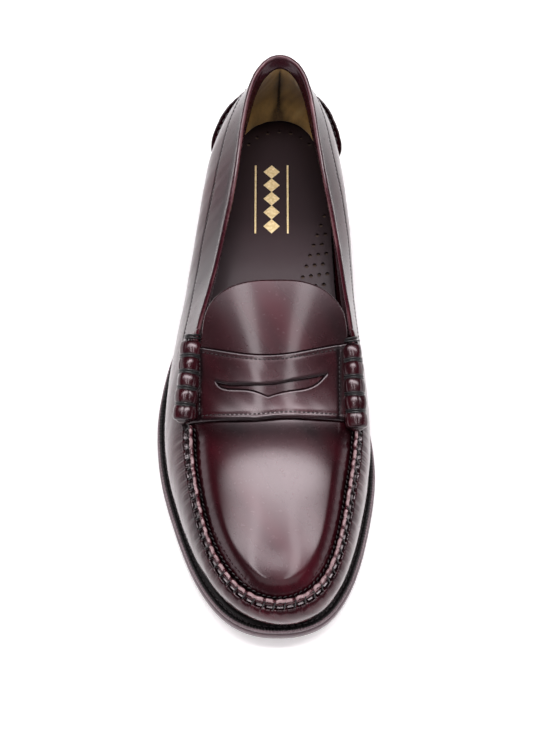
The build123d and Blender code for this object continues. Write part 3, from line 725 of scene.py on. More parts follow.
def vamp_piece():
    """The cradle: its edge turned up into the moccasin seam, pleated between the stitches."""
    columns = np.concatenate([
        np.linspace(0.004, 6.6, 200, endpoint=False), np.linspace(6.6, 15.4, 1000, endpoint=False),
        np.linspace(15.4, COUNT - 0.004, 200),
    ])[:, None]
    share = np.concatenate([
        np.linspace(0, 0.6, 22), np.linspace(0.62, LIP_START, 24), np.linspace(0.85, 1.0, 12),
    ])[None, :]
    mask = seam_mask(columns)
    climb = np.minimum(share / LIP_START, 1.0)
    t = (share * TOP_EDGE) * (1 - mask) + climb * mask
    lip = np.clip((share - LIP_START) / LIP_SHARE, 0, 1) * mask
    columns, t, lip, mask = np.broadcast_arrays(columns, t, lip, mask)
    phase = seam_phase(columns)
    stitch = fold(phase)
    bend = np.minimum(lip / 0.45, 1.0) * math.pi / 2
    above = np.maximum(lip - 0.45, 0) / 0.55
    height = 1.9 + 0.50 * (1 - stitch) + 0.3 * wobble(phase, 3, base=1.1)
    out = outward(columns)
    surface = wall_point(columns, t) - out * (1.1 * np.sin(bend))[..., None]
    surface = surface + UP * (1.0 * (1 - np.cos(bend)) + above * height)[..., None]
    normals = grid_normals(surface)
    groove = smooth_step(t, 0.90, 0.975) * (1 - smooth_step(lip, 0.30, 0.55)) * mask
    relief = -1.25 * groove * (1 - stitch * (0.80 + 0.2 * wobble(phase, 5)))
    pucker = smooth_step(t, 0.62, 0.93) * (1 - groove) * mask
    relief += 0.20 * pucker * (np.cos(phase * 2 * math.pi) + 0.7 * wobble(phase, 7, base=5.0))
    relief += 0.10 * wobble(columns * 3 + t * 4, 11) * np.sin(np.clip(t, 0, 1) * math.pi)
    forepart = smooth_step(columns, 5.7, 6.0) * (1 - smooth_step(columns, 16.0, 16.3))
    collar = bell(t, COLLAR_ROW, 0.012) * (1 - forepart)
    relief -= 0.28 * collar
    bulge = above * mask * (1 - stitch) * 0.35
    surface = surface + normals * (relief + bulge)[..., None]
    tone = 0.42 + 0.1 * wobble(columns * 2.2 + t * 3, 21)
    # Painted shade on the quarters' outer band just under the top edge.
    tone = tone - 0.40 * smooth_step(t, 0.86, 0.95) * (1 - mask)
    # Painted shade in the seam's groove (less at each stitch), in the collar stitch groove, and low down
    # where the wall meets the welt.
    tone = tone - 0.55 * groove * (1 - stitch * 0.5) - 0.35 * collar - 0.25 * bell(t, 0.0, 0.08)
    # Painted highlight along the seam's standing ridge, with painted shade at each stitch where it is
    # pinched.
    ridge_highlight = 0.60 + 0.35 * wobble(phase, 25, base=2.3) - 0.40 * stitch
    tone = tone + ridge_highlight * smooth_step(above, 0.15, 0.7) * mask
    # Painted shade on the wall just below the seam's standing lip.
    tone = tone - 0.30 * smooth_step(t, 0.70, 0.93) * mask * (1 - smooth_step(lip, 0.2, 0.5)) * (1 - stitch)
    # Painted shade: the quarters darken up the wall towards the topline.
    tone = tone - 0.26 * smooth_step(t, 0.40, 0.95) * (1 - mask)
    outer = with_tone(surface, tone)
    normals = grid_normals(surface)
    inside = surface - normals * UPPER_THICK * (1 - 0.15 * lip)[..., None]
    # Painted shade on the inner face, lighter up the standing lip as painted highlight.
    inner = with_tone(inside, 0.3 + 0.45 * smooth_step(above, 0.3, 0.9))
    way_up = unit(outer[:, -1:, :3] - outer[:, -2:-1, :3])
    rounding = (outer[:, -1:, :3] + inner[:, -1:, :3]) / 2 + way_up * 0.7
    # Painted highlight: the rounded top edge is a little lighter.
    rounding = with_tone(rounding, tone[:, -1:] + 0.1)
    sections = np.concatenate([outer, rounding, inner[:, ::-1][:, ::2], inner[:, :1]], axis=1)
    points, faces = swept(sections)
    return make_piece("cradle_leather", points, faces, OXBLOOD, ["vamp"])


def grid_normals(surface):
    """Normals of a grid whose rows run along the shoe and whose columns run up it."""
    along = np.gradient(surface, axis=0)
    across = np.gradient(surface, axis=1)
    return unit(np.cross(along, across))


def apron_border(side, count):
    """Half of the apron's and tongue's border, from the toe to the tongue's end: points and seam mask."""
    if side == "lateral":
        s = np.linspace(11.0, 6.75, 500)
        tongue = stretched(TONGUE[:5], "xy")
    else:
        s = np.linspace(11.0, 15.3, 500)
        tongue = stretched(TONGUE[:3:-1], "xy")
    seam = station(s)[:, 2:4] - outward(s)[:, :2] * 0.9
    end = curve_through(np.concatenate([seam[-30:-20:9], tongue]), 200)[1:]
    path = np.concatenate([seam[:-21], end[run_length(end) > np.linalg.norm(end[0] - seam[-21])]])
    run = run_length(path)
    places = np.linspace(0, run[-1], count)
    flat = np.stack([np.interp(places, run, path[:, k]) for k in range(2)], -1)
    stations = np.interp(places, run[:len(seam) - 21], s[:-21])
    return flat, stations


def apron_piece():
    """Apron and tongue in one: sunk beside the seam, pinched at each stitch, free at the tongue."""
    count = 620
    half = 46
    left, left_s = apron_border("lateral", count)
    right, right_s = apron_border("medial", count)
    level = (left[:, 1] + right[:, 1]) / 2
    low, high = level[0], level[-1]
    toe_margin, both_margins = 26, 40
    middle_y = low + toe_margin + (level - low) / (high - low) * (high - low - both_margins)
    middle = np.column_stack([np.full(count, APRON_MIDDLE * STRETCH[0]), middle_y])
    share = np.linspace(0, 1, half)[None, :, None] ** 1.7
    grids = []
    for border, stations in ((left, left_s), (right, right_s)):
        flat = border[:, None] * (1 - share) + middle[:, None] * share
        away = np.linalg.norm(flat - border[:, None], axis=-1)
        phase = seam_phase(stations)[:, None]
        stitch = fold(phase, 0.16)
        mask = (smooth_step(stations, 7.0, 7.3) * (1 - smooth_step(stations, 14.7, 15.0)))[:, None]
        z = apron_height(flat[..., 0], flat[..., 1])
        step_up = station(stations)[:, 4] - 0.4 - apron_height(border[:, 0], border[:, 1])
        z += step_up[:, None] * mask * (1 - smooth_step(away, 0.0, 10.0))
        valley = bell(away, 2.2, 1.05) * mask
        lip = smooth_step(away, 1.6, 0.2) * mask
        z = z - valley * (1.0 + 0.3 * stitch) + lip * (0.9 + 0.3 * (1 - stitch))
        pleats = np.cos(phase * 2 * math.pi) + wobble(phase, 31, base=4.0)
        z += 0.05 * mask * bell(away, 4.0, 2.0) * pleats
        z -= APRON_DIP * bell(flat[..., 1], -54.5 * STRETCH[1], 10.0)
        toe = smooth_step(-flat[..., 1], 92.0, 128.0)
        z += TOE_FULLNESS * toe * mask * smooth_step(away, 0.3, 3.6) * (1 - smooth_step(away, 3.0, 24.0))
        z += 0.03 * wobble(flat[..., 0] * 0.05 + flat[..., 1] * 0.04, 33) * (1 - mask * bell(away, 0, 6))
        cloud = wobble(flat[..., 0] * 0.1 + flat[..., 1] * 0.07, 35)
        # Painted shade in the valley beside the seam and on the apron near it; the cloud term is random
        # tone.
        tone = 0.48 - 0.50 * valley - 0.10 * bell(away, 3.0, 5.0) + 0.12 * cloud
        # Painted highlight on the raised lip at the seam.
        tone += 0.30 * lip
        # Painted light and shade on the tongue: lighter red in its middle, darker towards its sides.
        tongue = smooth_step(flat[..., 1], -34.0, -14.0)
        aside = np.abs(flat[..., 0] - APRON_MIDDLE * STRETCH[0])
        tone += tongue * (0.26 * bell(aside, 0.0, 17.0) - 0.12)
        # Painted shade on the apron just in front of the strap.
        tone -= 0.40 * bell(flat[..., 1], -60.0 * STRETCH[1], 7.0)
        grids.append(with_tone(np.concatenate([flat, z[..., None]], -1), tone))
    whole = np.concatenate([grids[0], grids[1][:, ::-1][:, 1:]], axis=1)
    whole[0, half:] = whole[0, :half - 1][::-1]
    points, faces = weld(whole.reshape(-1, 4), grid_faces(count, 2 * half - 1))
    points, faces = thickened(points, faces, UPPER_THICK, 0.35)
    return make_piece("apron_leather", points, faces, OXBLOOD, ["apron"])


def slot_lines(x):
    rear = curve_through(stretched(SLOT_REAR, "xy"), 300)
    left = curve_through(stretched(SLOT_FRONT_LEFT, "xy"), 200)
    right = curve_through(stretched(SLOT_FRONT_RIGHT, "xy"), 200)
    front = np.concatenate([left, right[1:]])
    return np.interp(x, rear[:, 0], rear[:, 1]), np.interp(x, front[:, 0], front[:, 1])


def strap_piece():
    """The saddle strap with its penny slot."""
    columns = 420
    rear_line = curve_through(stretched(STRAP_REAR, "xy"), 500)
    front_line = curve_through(stretched(STRAP_FRONT, "xy"), 500)
    x = np.linspace(-37.0, 43.6, columns) * STRETCH[0]
    rear = np.interp(x, rear_line[:, 0], rear_line[:, 1])
    front = np.interp(x, front_line[:, 0], front_line[:, 1])
    slot_rear, slot_front = slot_lines(x)
    left_tip, right_tip = SLOT_REAR[0][0] * STRETCH[0], SLOT_REAR[-1][0] * STRETCH[0]
    inside = (x > left_tip) & (x < right_tip)
    tip_y = np.where(x < 0, SLOT_REAR[0][1], SLOT_REAR[-1][1]) * STRETCH[1]
    slot_rear = np.where(inside, slot_rear, tip_y)
    slot_front = np.where(inside, slot_front, tip_y)
    rows = 22
    share = np.linspace(0, 1, rows)[None, :]
    upper = rear[:, None] * (1 - share) + slot_rear[:, None] * share
    lower = slot_front[:, None] * (1 - share) + front[:, None] * share
    parts = []
    for y in (upper, lower):
        grid_x = np.broadcast_to(x[:, None], y.shape)
        z = apron_height(grid_x, y) + UPPER_THICK + 0.12
        to_rear = rear[:, None] - y
        to_front = y - front[:, None]
        edge = np.minimum(to_rear, to_front)
        z = z - 0.12 * bell(edge, 2.1, 0.6) - 0.25 * bell(edge, 0.0, 0.35)
        slot_away = np.minimum(np.abs(y - slot_rear[:, None]), np.abs(y - slot_front[:, None]))
        slot_away = np.where(inside[:, None], slot_away, FAR)
        z = z + 0.12 * np.exp(-slot_away / 1.8) * inside[:, None] - 0.2 * bell(slot_away, 0.0, 0.3)
        side = np.minimum(*(np.abs(grid_x - end * STRETCH[0]) for end in STRAP_ENDS))
        z = z - 0.15 * bell(side, 0.0, 0.9)
        z = z + 0.06 * wobble(grid_x * 0.09 + y * 0.10, 41)
        # Painted shade along the strap's rounded edges and round the penny slot.
        tone = 0.45 - 0.45 * bell(edge, 0.0, 1.2) - 0.40 * bell(slot_away, 0.0, 0.8)
        # Painted shade in the grooves along the stitched rows at the strap's ends; the wobble below is
        # random tone.
        tone = tone - 0.45 * bell(side, 0.0, 1.5)
        tone = tone + 0.12 * wobble(grid_x * 0.12 + y * 0.1, 43)
        grid = with_tone(np.stack([grid_x, y, z], -1), tone)
        parts.append((grid.reshape(-1, 4), grid_faces(columns, rows).tolist()))
    points, faces = joined(parts)
    points, faces = weld(points, np.array(faces))
    points, faces = thickened(points, faces, UPPER_THICK, 0.05)
    return make_piece("strap_leather", points, faces, OXBLOOD, ["saddle_strap"])


def roll_basis(side):
    rear, front = stretched(ROLL_AXES[side], "xyz")
    ahead = unit(front - rear)
    across = unit(np.cross(ahead, UP))
    return rear, front, ahead, across, np.cross(across, ahead)


def roll_radius(place):
    """The roll's radius: full between the threads, pinched under them and at both ends."""
    lobe = np.abs(np.sin(np.clip(place, 0, 1) * math.pi * ROLL_LOBES)) ** 0.30
    return ROLL_CORE + ROLL_SWELL * lobe


def beef_roll(side):
    rear, front, ahead, across, over = roll_basis(side)
    count, around = 240, 72
    place = np.linspace(-0.035, 1.035, count)
    angle = np.linspace(0, 2 * math.pi, around, endpoint=False)[None, :]
    radius = roll_radius(place)[:, None]
    ends = np.sqrt(np.clip(1 - (np.clip(np.abs(place - 0.5) - 0.47, 0, 1) / 0.066) ** 2, 0.0, 1))[:, None]
    lobe = np.clip(np.floor(place * ROLL_LOBES), 0, ROLL_LOBES - 1)[:, None]
    facets = 0.16 * np.cos(3 * angle + 1.3 * lobe)
    facets = facets + 0.10 * np.cos(5 * angle + 2.1 * lobe + 8 * place[:, None])
    crease = 0.22 * bell((angle + 0.4 * lobe) % 2.1, 1.0, 0.08)
    crease = crease * bell((place[:, None] * ROLL_LOBES) % 1, 0.5, 0.35)
    size = (radius + facets - crease) * ends
    centre = rear + (front - rear) * place[:, None]
    ring = centre[:, None] + (
        across * (np.cos(angle) * 1.08)[..., None] + over * (np.sin(angle) * 0.94)[..., None]
    ) * size[..., None]
    near = (np.abs((place * ROLL_LOBES + 0.5) % 1 - 0.5))[:, None]
    # Painted shade where the threads pinch the roll; the cosine term varies the tone around it.
    tone = 0.42 - 0.45 * bell(near, 0.0, 0.12) + 0.10 * np.cos(angle * 3 + lobe)
    points, faces = swept(with_tone(ring, tone))
    make_piece(f"beef_roll_leather_{side}", points, faces, OXBLOOD, [f"beef_roll_{side}"])
    parts = []
    for k in range(1, ROLL_LOBES):
        for strand in (-0.55, 0.55):
            spot = k / ROLL_LOBES + strand / np.linalg.norm(front - rear)
            turn = np.linspace(0, 2 * math.pi, 60, endpoint=False)
            size = ROLL_CORE + 0.75 + 0.10 * np.cos(2 * turn + k)
            slant = 0.35 * np.cos(turn + k)
            centre = rear + (front - rear) * spot
            oval = across * (np.cos(turn) * 1.06)[:, None] + over * (np.sin(turn) * 0.96)[:, None]
            path = centre + oval * size[..., None] + ahead * slant[:, None]
            parts.append(cord(path, 0.62, plies=3, lay=2.6, closed=True))
    parts += roll_knot(side)
    points, faces = joined(parts)
    name = f"roll_binding_thread_{side}"
    make_piece(name, points, faces, WAXED_THREAD, [f"roll_thread_{side}"])


def roll_knot(side):
    """The waxed thread's last turns round the gathered topline behind the roll."""
    rear, _, ahead, across, over = roll_basis(side)
    parts = []
    for k, spread in enumerate((0.0, 1.15)):
        turn = np.linspace(0, 2 * math.pi, 48, endpoint=False)
        size = 3.1 - 0.25 * k
        path = rear - ahead * (1.6 + spread) + (
            across * np.cos(turn)[:, None] * 1.15 + over * np.sin(turn)[:, None]
        ) * size + ahead * (0.4 * np.sin(turn + k))[:, None]
        parts.append(cord(path, 0.58, plies=3, lay=2.4, closed=True))
    return parts


def gathered_collar(side):
    """Pleats where the topline is drawn into the roll."""
    rear, _, ahead, across, over = roll_basis(side)
    centre_s = 5.86 if side == "lateral" else 16.14
    parts = []
    for k in range(4):
        start = wall(centre_s, 0.86 + 0.05 * k, -0.2)
        end = rear + across * (2.2 * math.cos(0.6 + 0.7 * k))
        end = end + over * (2.4 * math.sin(0.5 + 0.7 * k)) + ahead * 0.5
        share = np.linspace(0, 1, 24)[:, None]
        path = start * (1 - share) + end * share + over * np.sin(share * math.pi) * 0.9
        parts.append(cord(path, 1.15, around=14, tone=0.6))
    points, faces = joined(parts)
    make_piece(f"collar_gather_{side}", points, faces, OXBLOOD)


def seam_thread():
    """Whip stitches over the moccasin seam."""
    dense = np.linspace(SEAM_START, SEAM_END, 4000)
    phase = seam_phase(dense)
    count = int(round(phase[-1]))
    parts = []
    for k in range(count + 1):
        a = np.interp(k - 0.10, phase, dense)
        b = np.interp(k + 0.16, phase, dense)
        edge = station(np.array([a, b]))[:, 2:5]
        out = outward(np.array([a, b]))
        middle = (edge[0] + edge[1]) / 2
        way = out[0]
        knots = np.array([
            edge[0] + way * 1.3 - UP * 0.8,
            edge[0] + way * 0.30 + UP * 0.8,
            middle - way * 0.9 + UP * 2.75,
            middle - way * 2.0 + UP * 2.50,
            edge[1] - way * 3.4 + UP * 0.9,
            edge[1] - way * 3.9 - UP * 0.4,
        ])
        parts.append(cord(curve_through(knots, 22), 0.34, plies=3, lay=2.0, around=8))
    points, faces = joined(parts)
    make_piece("whip_stitches", points, faces, WAXED_THREAD, ["moc_seam_thread"])
    s = np.linspace(SEAM_START, SEAM_END, 2500)
    flat = station(s)[:, 2:4] - outward(s)[:, :2] * 3.5
    path = np.column_stack([flat, apron_height(*flat.T) - 0.75])
    points, faces = stitch_row(path, np.tile(UP, (len(path), 1)), 2.45, 1.9, 0.28, 0.20, 0.25)
    make_piece("apron_edge_stitches", points, faces, WAXED_THREAD)


def strap_threads():
    """Rows inside the strap's long edges, and one down each end."""
    parts = []
    for table, side in ((STRAP_REAR, -1), (STRAP_FRONT, 1)):
        flat = curve_through(stretched(table, "xy"), 600)
        flat = flat[(flat[:, 0] > -30.0) & (flat[:, 0] < 34.6)]
        flat = flat + [0.0, side * 2.1]
        path = np.column_stack([flat, apron_height(*flat.T) + UPPER_THICK])
        parts.append(stitch_row(path, np.tile(UP, (len(path), 1)), 2.1, 1.5, 0.27, 0.16))
    for x in STRAP_ENDS:
        flat = np.column_stack([np.full(300, x * STRETCH[0]), np.linspace(-28.0, -53.5, 300)])
        path = np.column_stack([flat, apron_height(*flat.T) + UPPER_THICK])
        parts.append(stitch_row(path, np.tile(UP, (len(path), 1)), 2.1, 1.5, 0.27, 0.16))
    points, faces = joined(parts)
    make_piece("strap_stitches", points, faces, FINE_THREAD, ["strap_stitching"])


def collar_threads():
    s = np.linspace(-5.8, 5.8, 3000)
    path = wall(s, COLLAR_ROW, 0.22)
    points, faces = stitch_row(path, wall_normal(s, np.full_like(s, COLLAR_ROW)), 2.3, 1.7, 0.26, 0.16)
    make_piece("collar_stitches", points, faces, FINE_THREAD, ["collar_stitching"])


def binding_piece():
    """The rolled topline edge: outer turn-down with a groove below, round top, inner turn-in."""
    s = np.linspace(-5.93, 5.93, 700)
    top = wall(s, 0.985)
    normal = wall_normal(s, np.full_like(s, 0.97))
    rise = unit(wall(s, 0.98) - wall(s, 0.90))
    from_back = np.abs(s)
    deep = 4.1 + 1.5 * (1 - smooth_step(from_back, 1.6, 2.8))
    profile = [
        (-0.3, -3.4), (0.15, -2.6), (0.35, -1.6), (0.75, -0.7), (0.85, 0.3), (0.35, 1.05), (-0.55, 1.25),
        (-1.35, 0.85), (-1.95, 0.0), (-2.6, -0.9), (-3.2, -1.8), (-3.7, -2.7), (-3.9, -3.5), (-3.2, -3.9),
    ]
    shape = closed_spline(profile)(np.linspace(0, len(profile), 48, endpoint=False))
    inside = -0.8 + (shape[None, :, 0] + 0.8) * (deep[:, None] / 4.1)
    away = np.where(shape[None, :, 0] < -0.8, inside, shape[None, :, 0])
    ring = top[:, None] + normal[:, None] * away[..., None] + rise[:, None] * shape[None, :, 1, None]
    ring = ring + normal[:, None] * (0.05 * wobble(s * 6, 51))[:, None, None]
    # Painted highlight along the binding's round top; painted shade in the groove under its outer turn-down
    # and lower down on both faces; the wobble is random tone.
    crest_highlight = bell(shape[None, :, 0], -0.35, 0.9) * smooth_step(shape[None, :, 1], 0.2, 1.0)
    tone = 0.42 + 0.42 * crest_highlight - 0.40 * bell(shape[None, :, 1], -1.9, 1.0) * (shape[None, :, 0] > 0)
    tone = tone - 0.15 * smooth_step(-shape[None, :, 1], 1.0, 4.0) + 0.06 * wobble(s * 4, 53)[:, None]
    points, faces = swept(with_tone(ring, tone))
    make_piece("rolled_binding", points, faces, BINDING, ["topline_binding"])


def sheet(surface, tone, thickness, edge_tone=None):
    """A leather sheet under a grid of points."""
    points = with_tone(surface, tone).reshape(-1, 4)
    return thickened(points, grid_faces(*surface.shape[:2]).tolist(), thickness, edge_tone)


def cup_top(s):
    """How high up the wall the heel cup reaches."""
    return 0.05 + 0.30 * np.sqrt(np.clip(1 - (s / HEEL_CUP_REACH) ** 2, 0, 1))


def heel_cup_piece():
    s = np.linspace(-HEEL_CUP_REACH, HEEL_CUP_REACH, 260)[:, None]
    share = np.linspace(0, 1, 44)[None, :]
    lift = 1.25 * smooth_step(share, 0.78, 1.0) + 0.15 * smooth_step(share, 0.78, 1.0) * wobble(s * 9, 61)
    surface = wall(s, share * cup_top(s), -0.15 - 1.2 - lift)
    # Painted shade along the fold where the cup's edge lifts off the wall; the tone also darkens towards
    # the top edge.
    tone = 0.40 - 0.20 * smooth_step(share, 0.88, 1.0) - 0.3 * bell(share, 0.74, 0.07)
    points, faces = sheet(surface, tone, 1.15, 0.1)
    make_piece("heel_cup_leather", points, faces, OXBLOOD, ["heel_cup"])
    line = np.linspace(-1.84, 1.84, 900)
    edge = cup_top(line)
    path = wall(line, edge + 0.012, -0.9)
    points, faces = stitch_row(path, wall_normal(line, edge), 3.4, 2.5, 0.42, 0.5, 0.5)
    make_piece("heel_cup_stitches", points, faces, WAXED_THREAD, ["heel_seam_thread"])


# ---------------------------------------------------------------- linings
def inner_depth(s):
    from_back = np.abs((np.asarray(s, float) + COUNT / 2) % COUNT - COUNT / 2)
    return UPPER_THICK + 0.1 + (1 - smooth_step(from_back, 2.4, 3.4)) * 1.6


def lining_piece(name, start, end, top, replaced):
    s = np.linspace(start, end, 240)[:, None]
    share = np.linspace(0.06, top, 40)[None, :]
    depth = inner_depth(s) + 0.12 + 0.10 * wobble(s * 3 + share * 5, 71)
    surface = wall(s, share, depth)
    # Painted shade: the lining darkens low down, deep in the shoe; the wobble is random tone.
    tone = 0.5 - 0.3 * bell(share, 0.0, 0.25) + 0.1 * wobble(s * 2.5 + share * 4, 73)
    points, faces = sheet(surface, tone, 0.9)
    return make_piece(name, points, faces, LINING, replaced)


def linings():
    lining_piece("side_lining_lateral", 0.02, 6.2, 0.93, ["lateral_lining"])
    lining_piece("side_lining_medial", COUNT - 6.2, COUNT - 0.02, 0.93, ["medial_lining"])
    lining_piece("toe_lining", 6.1, 15.9, 0.86, ["vamp_lining"])
    heel_grip()


def grip_foot(share):
    """How far the grip's foot turns in over the sock."""
    return 3.6 * (1 - smooth_step(share, 0.05, 0.30)) ** 1.5


def heel_grip():
    """The suede inside the heel. Its foot turns in over the sock."""
    s = np.linspace(-GRIP_REACH, GRIP_REACH, 240)[:, None]
    share = np.linspace(0.055, GRIP_TOP, 60)[None, :]
    depth = inner_depth(s) + 1.25 + grip_foot(share) + 0.12 * wobble(s * 5 + share * 7, 75)
    surface = wall(s, share, depth)
    # Darker along the back seam; painted shade low down where the grip meets the sock.
    tone = 0.62 - 0.42 * bell(s, 0.0, 0.16) - 0.12 * bell(s, 0.0, 0.5) - 0.25 * bell(share, 0.05, 0.10)
    # Painted light: the grip is lighter towards its top; the wobble is random tone.
    tone = tone + 0.18 * smooth_step(share, 0.75, GRIP_TOP) + 0.12 * wobble(s * 6 + share * 9, 77)
    points, faces = sheet(surface, tone, 0.8)
    make_piece("heel_grip", points, faces, SUEDE, ["heel_lining"])
    heel_seams()


def heel_seams():
    """The grip's closing seam up the back, zigzag sewn, and the rows at its front edges."""
    t = np.linspace(0.14, 0.91, 56)
    swing = np.where(np.arange(56) % 2 == 0, -1.0, 1.0) * 0.040
    path = wall(swing, t, inner_depth(0.0) + 2.15 + grip_foot(t))
    parts = [cord(path, 0.16, around=6)]
    for side in (-1, 1):
        line = np.linspace(0.14, 0.90, 400)
        edge = side * 1.41 * np.ones_like(line)
        row = wall(edge, line, inner_depth(edge) + 2.05 + grip_foot(line))
        parts.append(stitch_row(row, -wall_normal(edge, line), 2.6, 1.9, 0.20, 0.10))
    points, faces = joined(parts)
    make_piece("heel_grip_stitches", points, faces, FINE_THREAD)


def tongue_lining_piece():
    y = np.linspace(-56.0, 2.0, 60)[:, None] * STRETCH[1]
    share = np.linspace(-1, 1, 60)[None, :]
    reach = 26.5 * np.sqrt(np.clip(1 - np.clip((y + 14.0) / 17.0, 0, 1) ** 2.6, 0.02, 1))
    x = APRON_MIDDLE * STRETCH[0] + share * reach
    x, y = np.broadcast_arrays(x, y)
    z = apron_height(x, y) - UPPER_THICK - 0.25
    tone = 0.5 + 0.1 * wobble(x * 0.1 + y * 0.1, 81)
    points, faces = sheet(np.stack([x, y, z], -1), tone, 0.9)
    make_piece("tongue_lining_leather", points, faces, LINING, ["tongue_lining"])


# ---------------------------------------------------------------- the sole
def sole_edge_path(count, inset=0.0):
    s = np.linspace(0, len(OUTSOLE), count, endpoint=False)
    flat = outsole_edge(s)
    step = unit(outsole_edge(s + 1e-3) - outsole_edge(s - 1e-3))
    return flat + np.stack([-step[:, 1], step[:, 0]], -1) * inset


def sole_plate(name, outline, low, high, material, replaced):
    """A flat layer of the sole with a rounded edge. Its outline is rings of inset and height shares."""
    centre = np.array([3.0, 0.0])
    rings = [
        (14.0, 0.0), (6.0, 0.0), (1.2, 0.0), (0.35, 0.06), (0.0, 0.25), (-0.12, 0.5), (0.0, 0.75),
        (0.35, 0.94), (1.2, 1.0), (6.0, 1.0), (14.0, 1.0),
    ]
    count = len(outline)
    step = unit(np.roll(outline, -1, 0) - np.roll(outline, 1, 0))
    inward = np.stack([-step[:, 1], step[:, 0]], -1)
    sections = []
    for inset, share in rings:
        flat = outline + inward * inset if inset < 6 else outline + (centre - outline) * inset / 60
        base = sole_height(flat[:, 1])
        z = base + low + (high - low) * share
        sections.append(np.column_stack([flat, z]))
    sections = with_tone(np.stack(sections), 0.5)
    rows = len(rings)
    points = sections.reshape(-1, 4)
    faces = grid_faces(rows, count, wrap_columns=True).tolist()
    caps = []
    for end in (0, rows - 1):
        ring = sections[end]
        hub = with_tone(np.column_stack([
            np.full(count, centre[0]), ring[:, 1] * 0.75,
            sole_height(ring[:, 1] * 0.75) + (low if end == 0 else high),
        ]), 0.5)
        start = len(points)
        points = np.concatenate([points, hub])
        index = np.arange(count)
        after = (index + 1) % count
        corners = [end * count + index, end * count + after, start + after, start + index]
        caps += np.stack(corners, -1).tolist()
    points, faces = weld(points, np.array(faces + caps))
    return make_piece(name, points, faces, material, replaced)


def welt_piece():
    """The black welt strip: wheeled ribs on top, a stitched channel, and a rounded outer edge."""
    count = 2600
    outer = sole_edge_path(count, 0.5)
    run = run_length(np.concatenate([outer, outer[:1]]))[:-1]
    ribs = np.round(run[-1] / 1.55)
    wave = np.cos(run / run[-1] * ribs * 2 * math.pi)
    step = unit(np.roll(outer, -1, 0) - np.roll(outer, 1, 0))
    inward = np.stack([-step[:, 1], step[:, 0]], -1)
    profile = [
        (6.6, 0.0, 0), (0.7, 0.0, 0), (0.1, 0.5, 0.2), (0.0, 1.4, 0.4), (0.15, 2.3, 0.7),
        (0.55, 2.85, 1), (1.1, 3.05, 1), (1.7, 3.05, 1), (2.2, 2.8, 0.8), (2.7, 2.35, 0),
        (3.3, 2.3, 0), (4.2, 2.7, 0), (6.6, 2.7, 0),
    ]
    sections = []
    for inset, height, rib in profile:
        flat = outer + inward * (inset - 0.10 * rib * wave[:, None])
        z = sole_height(flat[:, 1]) + OUTSOLE_THICK + height + 0.24 * rib * wave
        sections.append(with_tone(np.column_stack([flat, z]), 1.0 if inset < 0.6 else 0.0))
    sections = np.stack(sections, axis=1)
    points, faces = swept(sections, closed=True)
    make_piece("wheeled_welt", points, faces, WELT, ["welt"])
    channel = outer + inward * 3.0
    path = np.column_stack([channel, sole_height(channel[:, 1]) + OUTSOLE_THICK + 2.35])
    front = path[path[:, 1] < 66.0]
    jump = int(np.argmax(np.linalg.norm(np.diff(front, axis=0), axis=1)))
    front = np.concatenate([front[jump + 1:], front[:jump + 1]])
    points, faces = stitch_row(front, np.tile(UP, (len(front), 1)), 3.1, 2.5, 0.40, 0.25)
    make_piece("welt_stitches", points, faces, FINE_THREAD, ["welt_stitching"])


def heel_layer(name, low, high, inset, material, replaced, sloped=False):
    """One layer of the heel, behind the hollowed breast."""
    outline = sole_edge_path(900, inset)
    breast = 56.0 * STRETCH[1]
    back = outline[outline[:, 1] > breast]
    jump = int(np.argmax(np.linalg.norm(np.diff(back, axis=0), axis=1)))
    if np.linalg.norm(back[jump + 1] - back[jump]) > 5:
        back = np.concatenate([back[jump + 1:], back[:jump + 1]])
    start, end = back[-1], back[0]
    share = np.linspace(0, 1, 60)[1:-1, None]
    front = start + (end - start) * share
    front[:, 1] += 3.6 * np.sin(share[:, 0] * math.pi)
    loop = np.concatenate([back, front])
    count = len(loop)
    step = unit(np.roll(loop, -1, 0) - np.roll(loop, 1, 0))
    inward = np.stack([-step[:, 1], step[:, 0]], -1)
    if np.sum((loop + inward - loop.mean(0)) ** 2) > np.sum((loop - loop.mean(0)) ** 2):
        inward = -inward
    rings = [(0.9, 0.0), (0.22, 0.05), (0.0, 0.2), (-0.08, 0.5), (0.0, 0.8), (0.22, 0.95), (0.9, 1.0)]
    sections = []
    for away, share in rings:
        flat = loop + inward * away
        top = sole_height(flat[:, 1]) - 0.02 if sloped else np.full(count, high)
        sections.append(with_tone(np.column_stack([flat, low + (top - low) * share]), 0.5))
    sections = np.stack(sections)
    points = sections.reshape(-1, 4)
    faces = grid_faces(len(rings), count, wrap_columns=True).tolist()
    faces.append(list(range(count)))
    faces.append([(len(rings) - 1) * count + k for k in range(count)])
    make_piece(name, points, faces, material, replaced)


def sole_unit():
    outline = sole_edge_path(900)
    sole_plate("outsole_leather", outline, 0.0, OUTSOLE_THICK, SOLE_EDGE, ["outsole"])
    welt_piece()
    names = ["heel_top_piece", "heel_lift_lower", "heel_lift_middle", "heel_lift_upper"]
    for index, node in enumerate(names):
        low, high = (corner[2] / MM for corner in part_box(node))
        inset = 1.8 - 0.5 * index + (0.3 if index == 0 else 0.0)
        material, slot = (RUBBER, "heel_rubber") if index == 0 else (HEEL_STACK, "sole_leather")
        heel_layer(f"{node}_layer", low, high, max(inset, 0.4), material, [node], index == 3)


# ---------------------------------------------------------------- what stays as the CAD made it
def dress(node, material):
    """Gives a CAD node its finish."""
    NODES[node].data.materials.clear()
    NODES[node].data.materials.append(material)


def dress_cad_nodes():
    finishes = {
        "insole": BOARD, "cork_filler": CORK, "shank": STEEL, "heel_counter": BOARD, "heel_nails": STEEL,
        "sock_lining": SOCK, "sock_ornament": FOIL,
    }
    for node, material in finishes.items():
        dress(node, material)


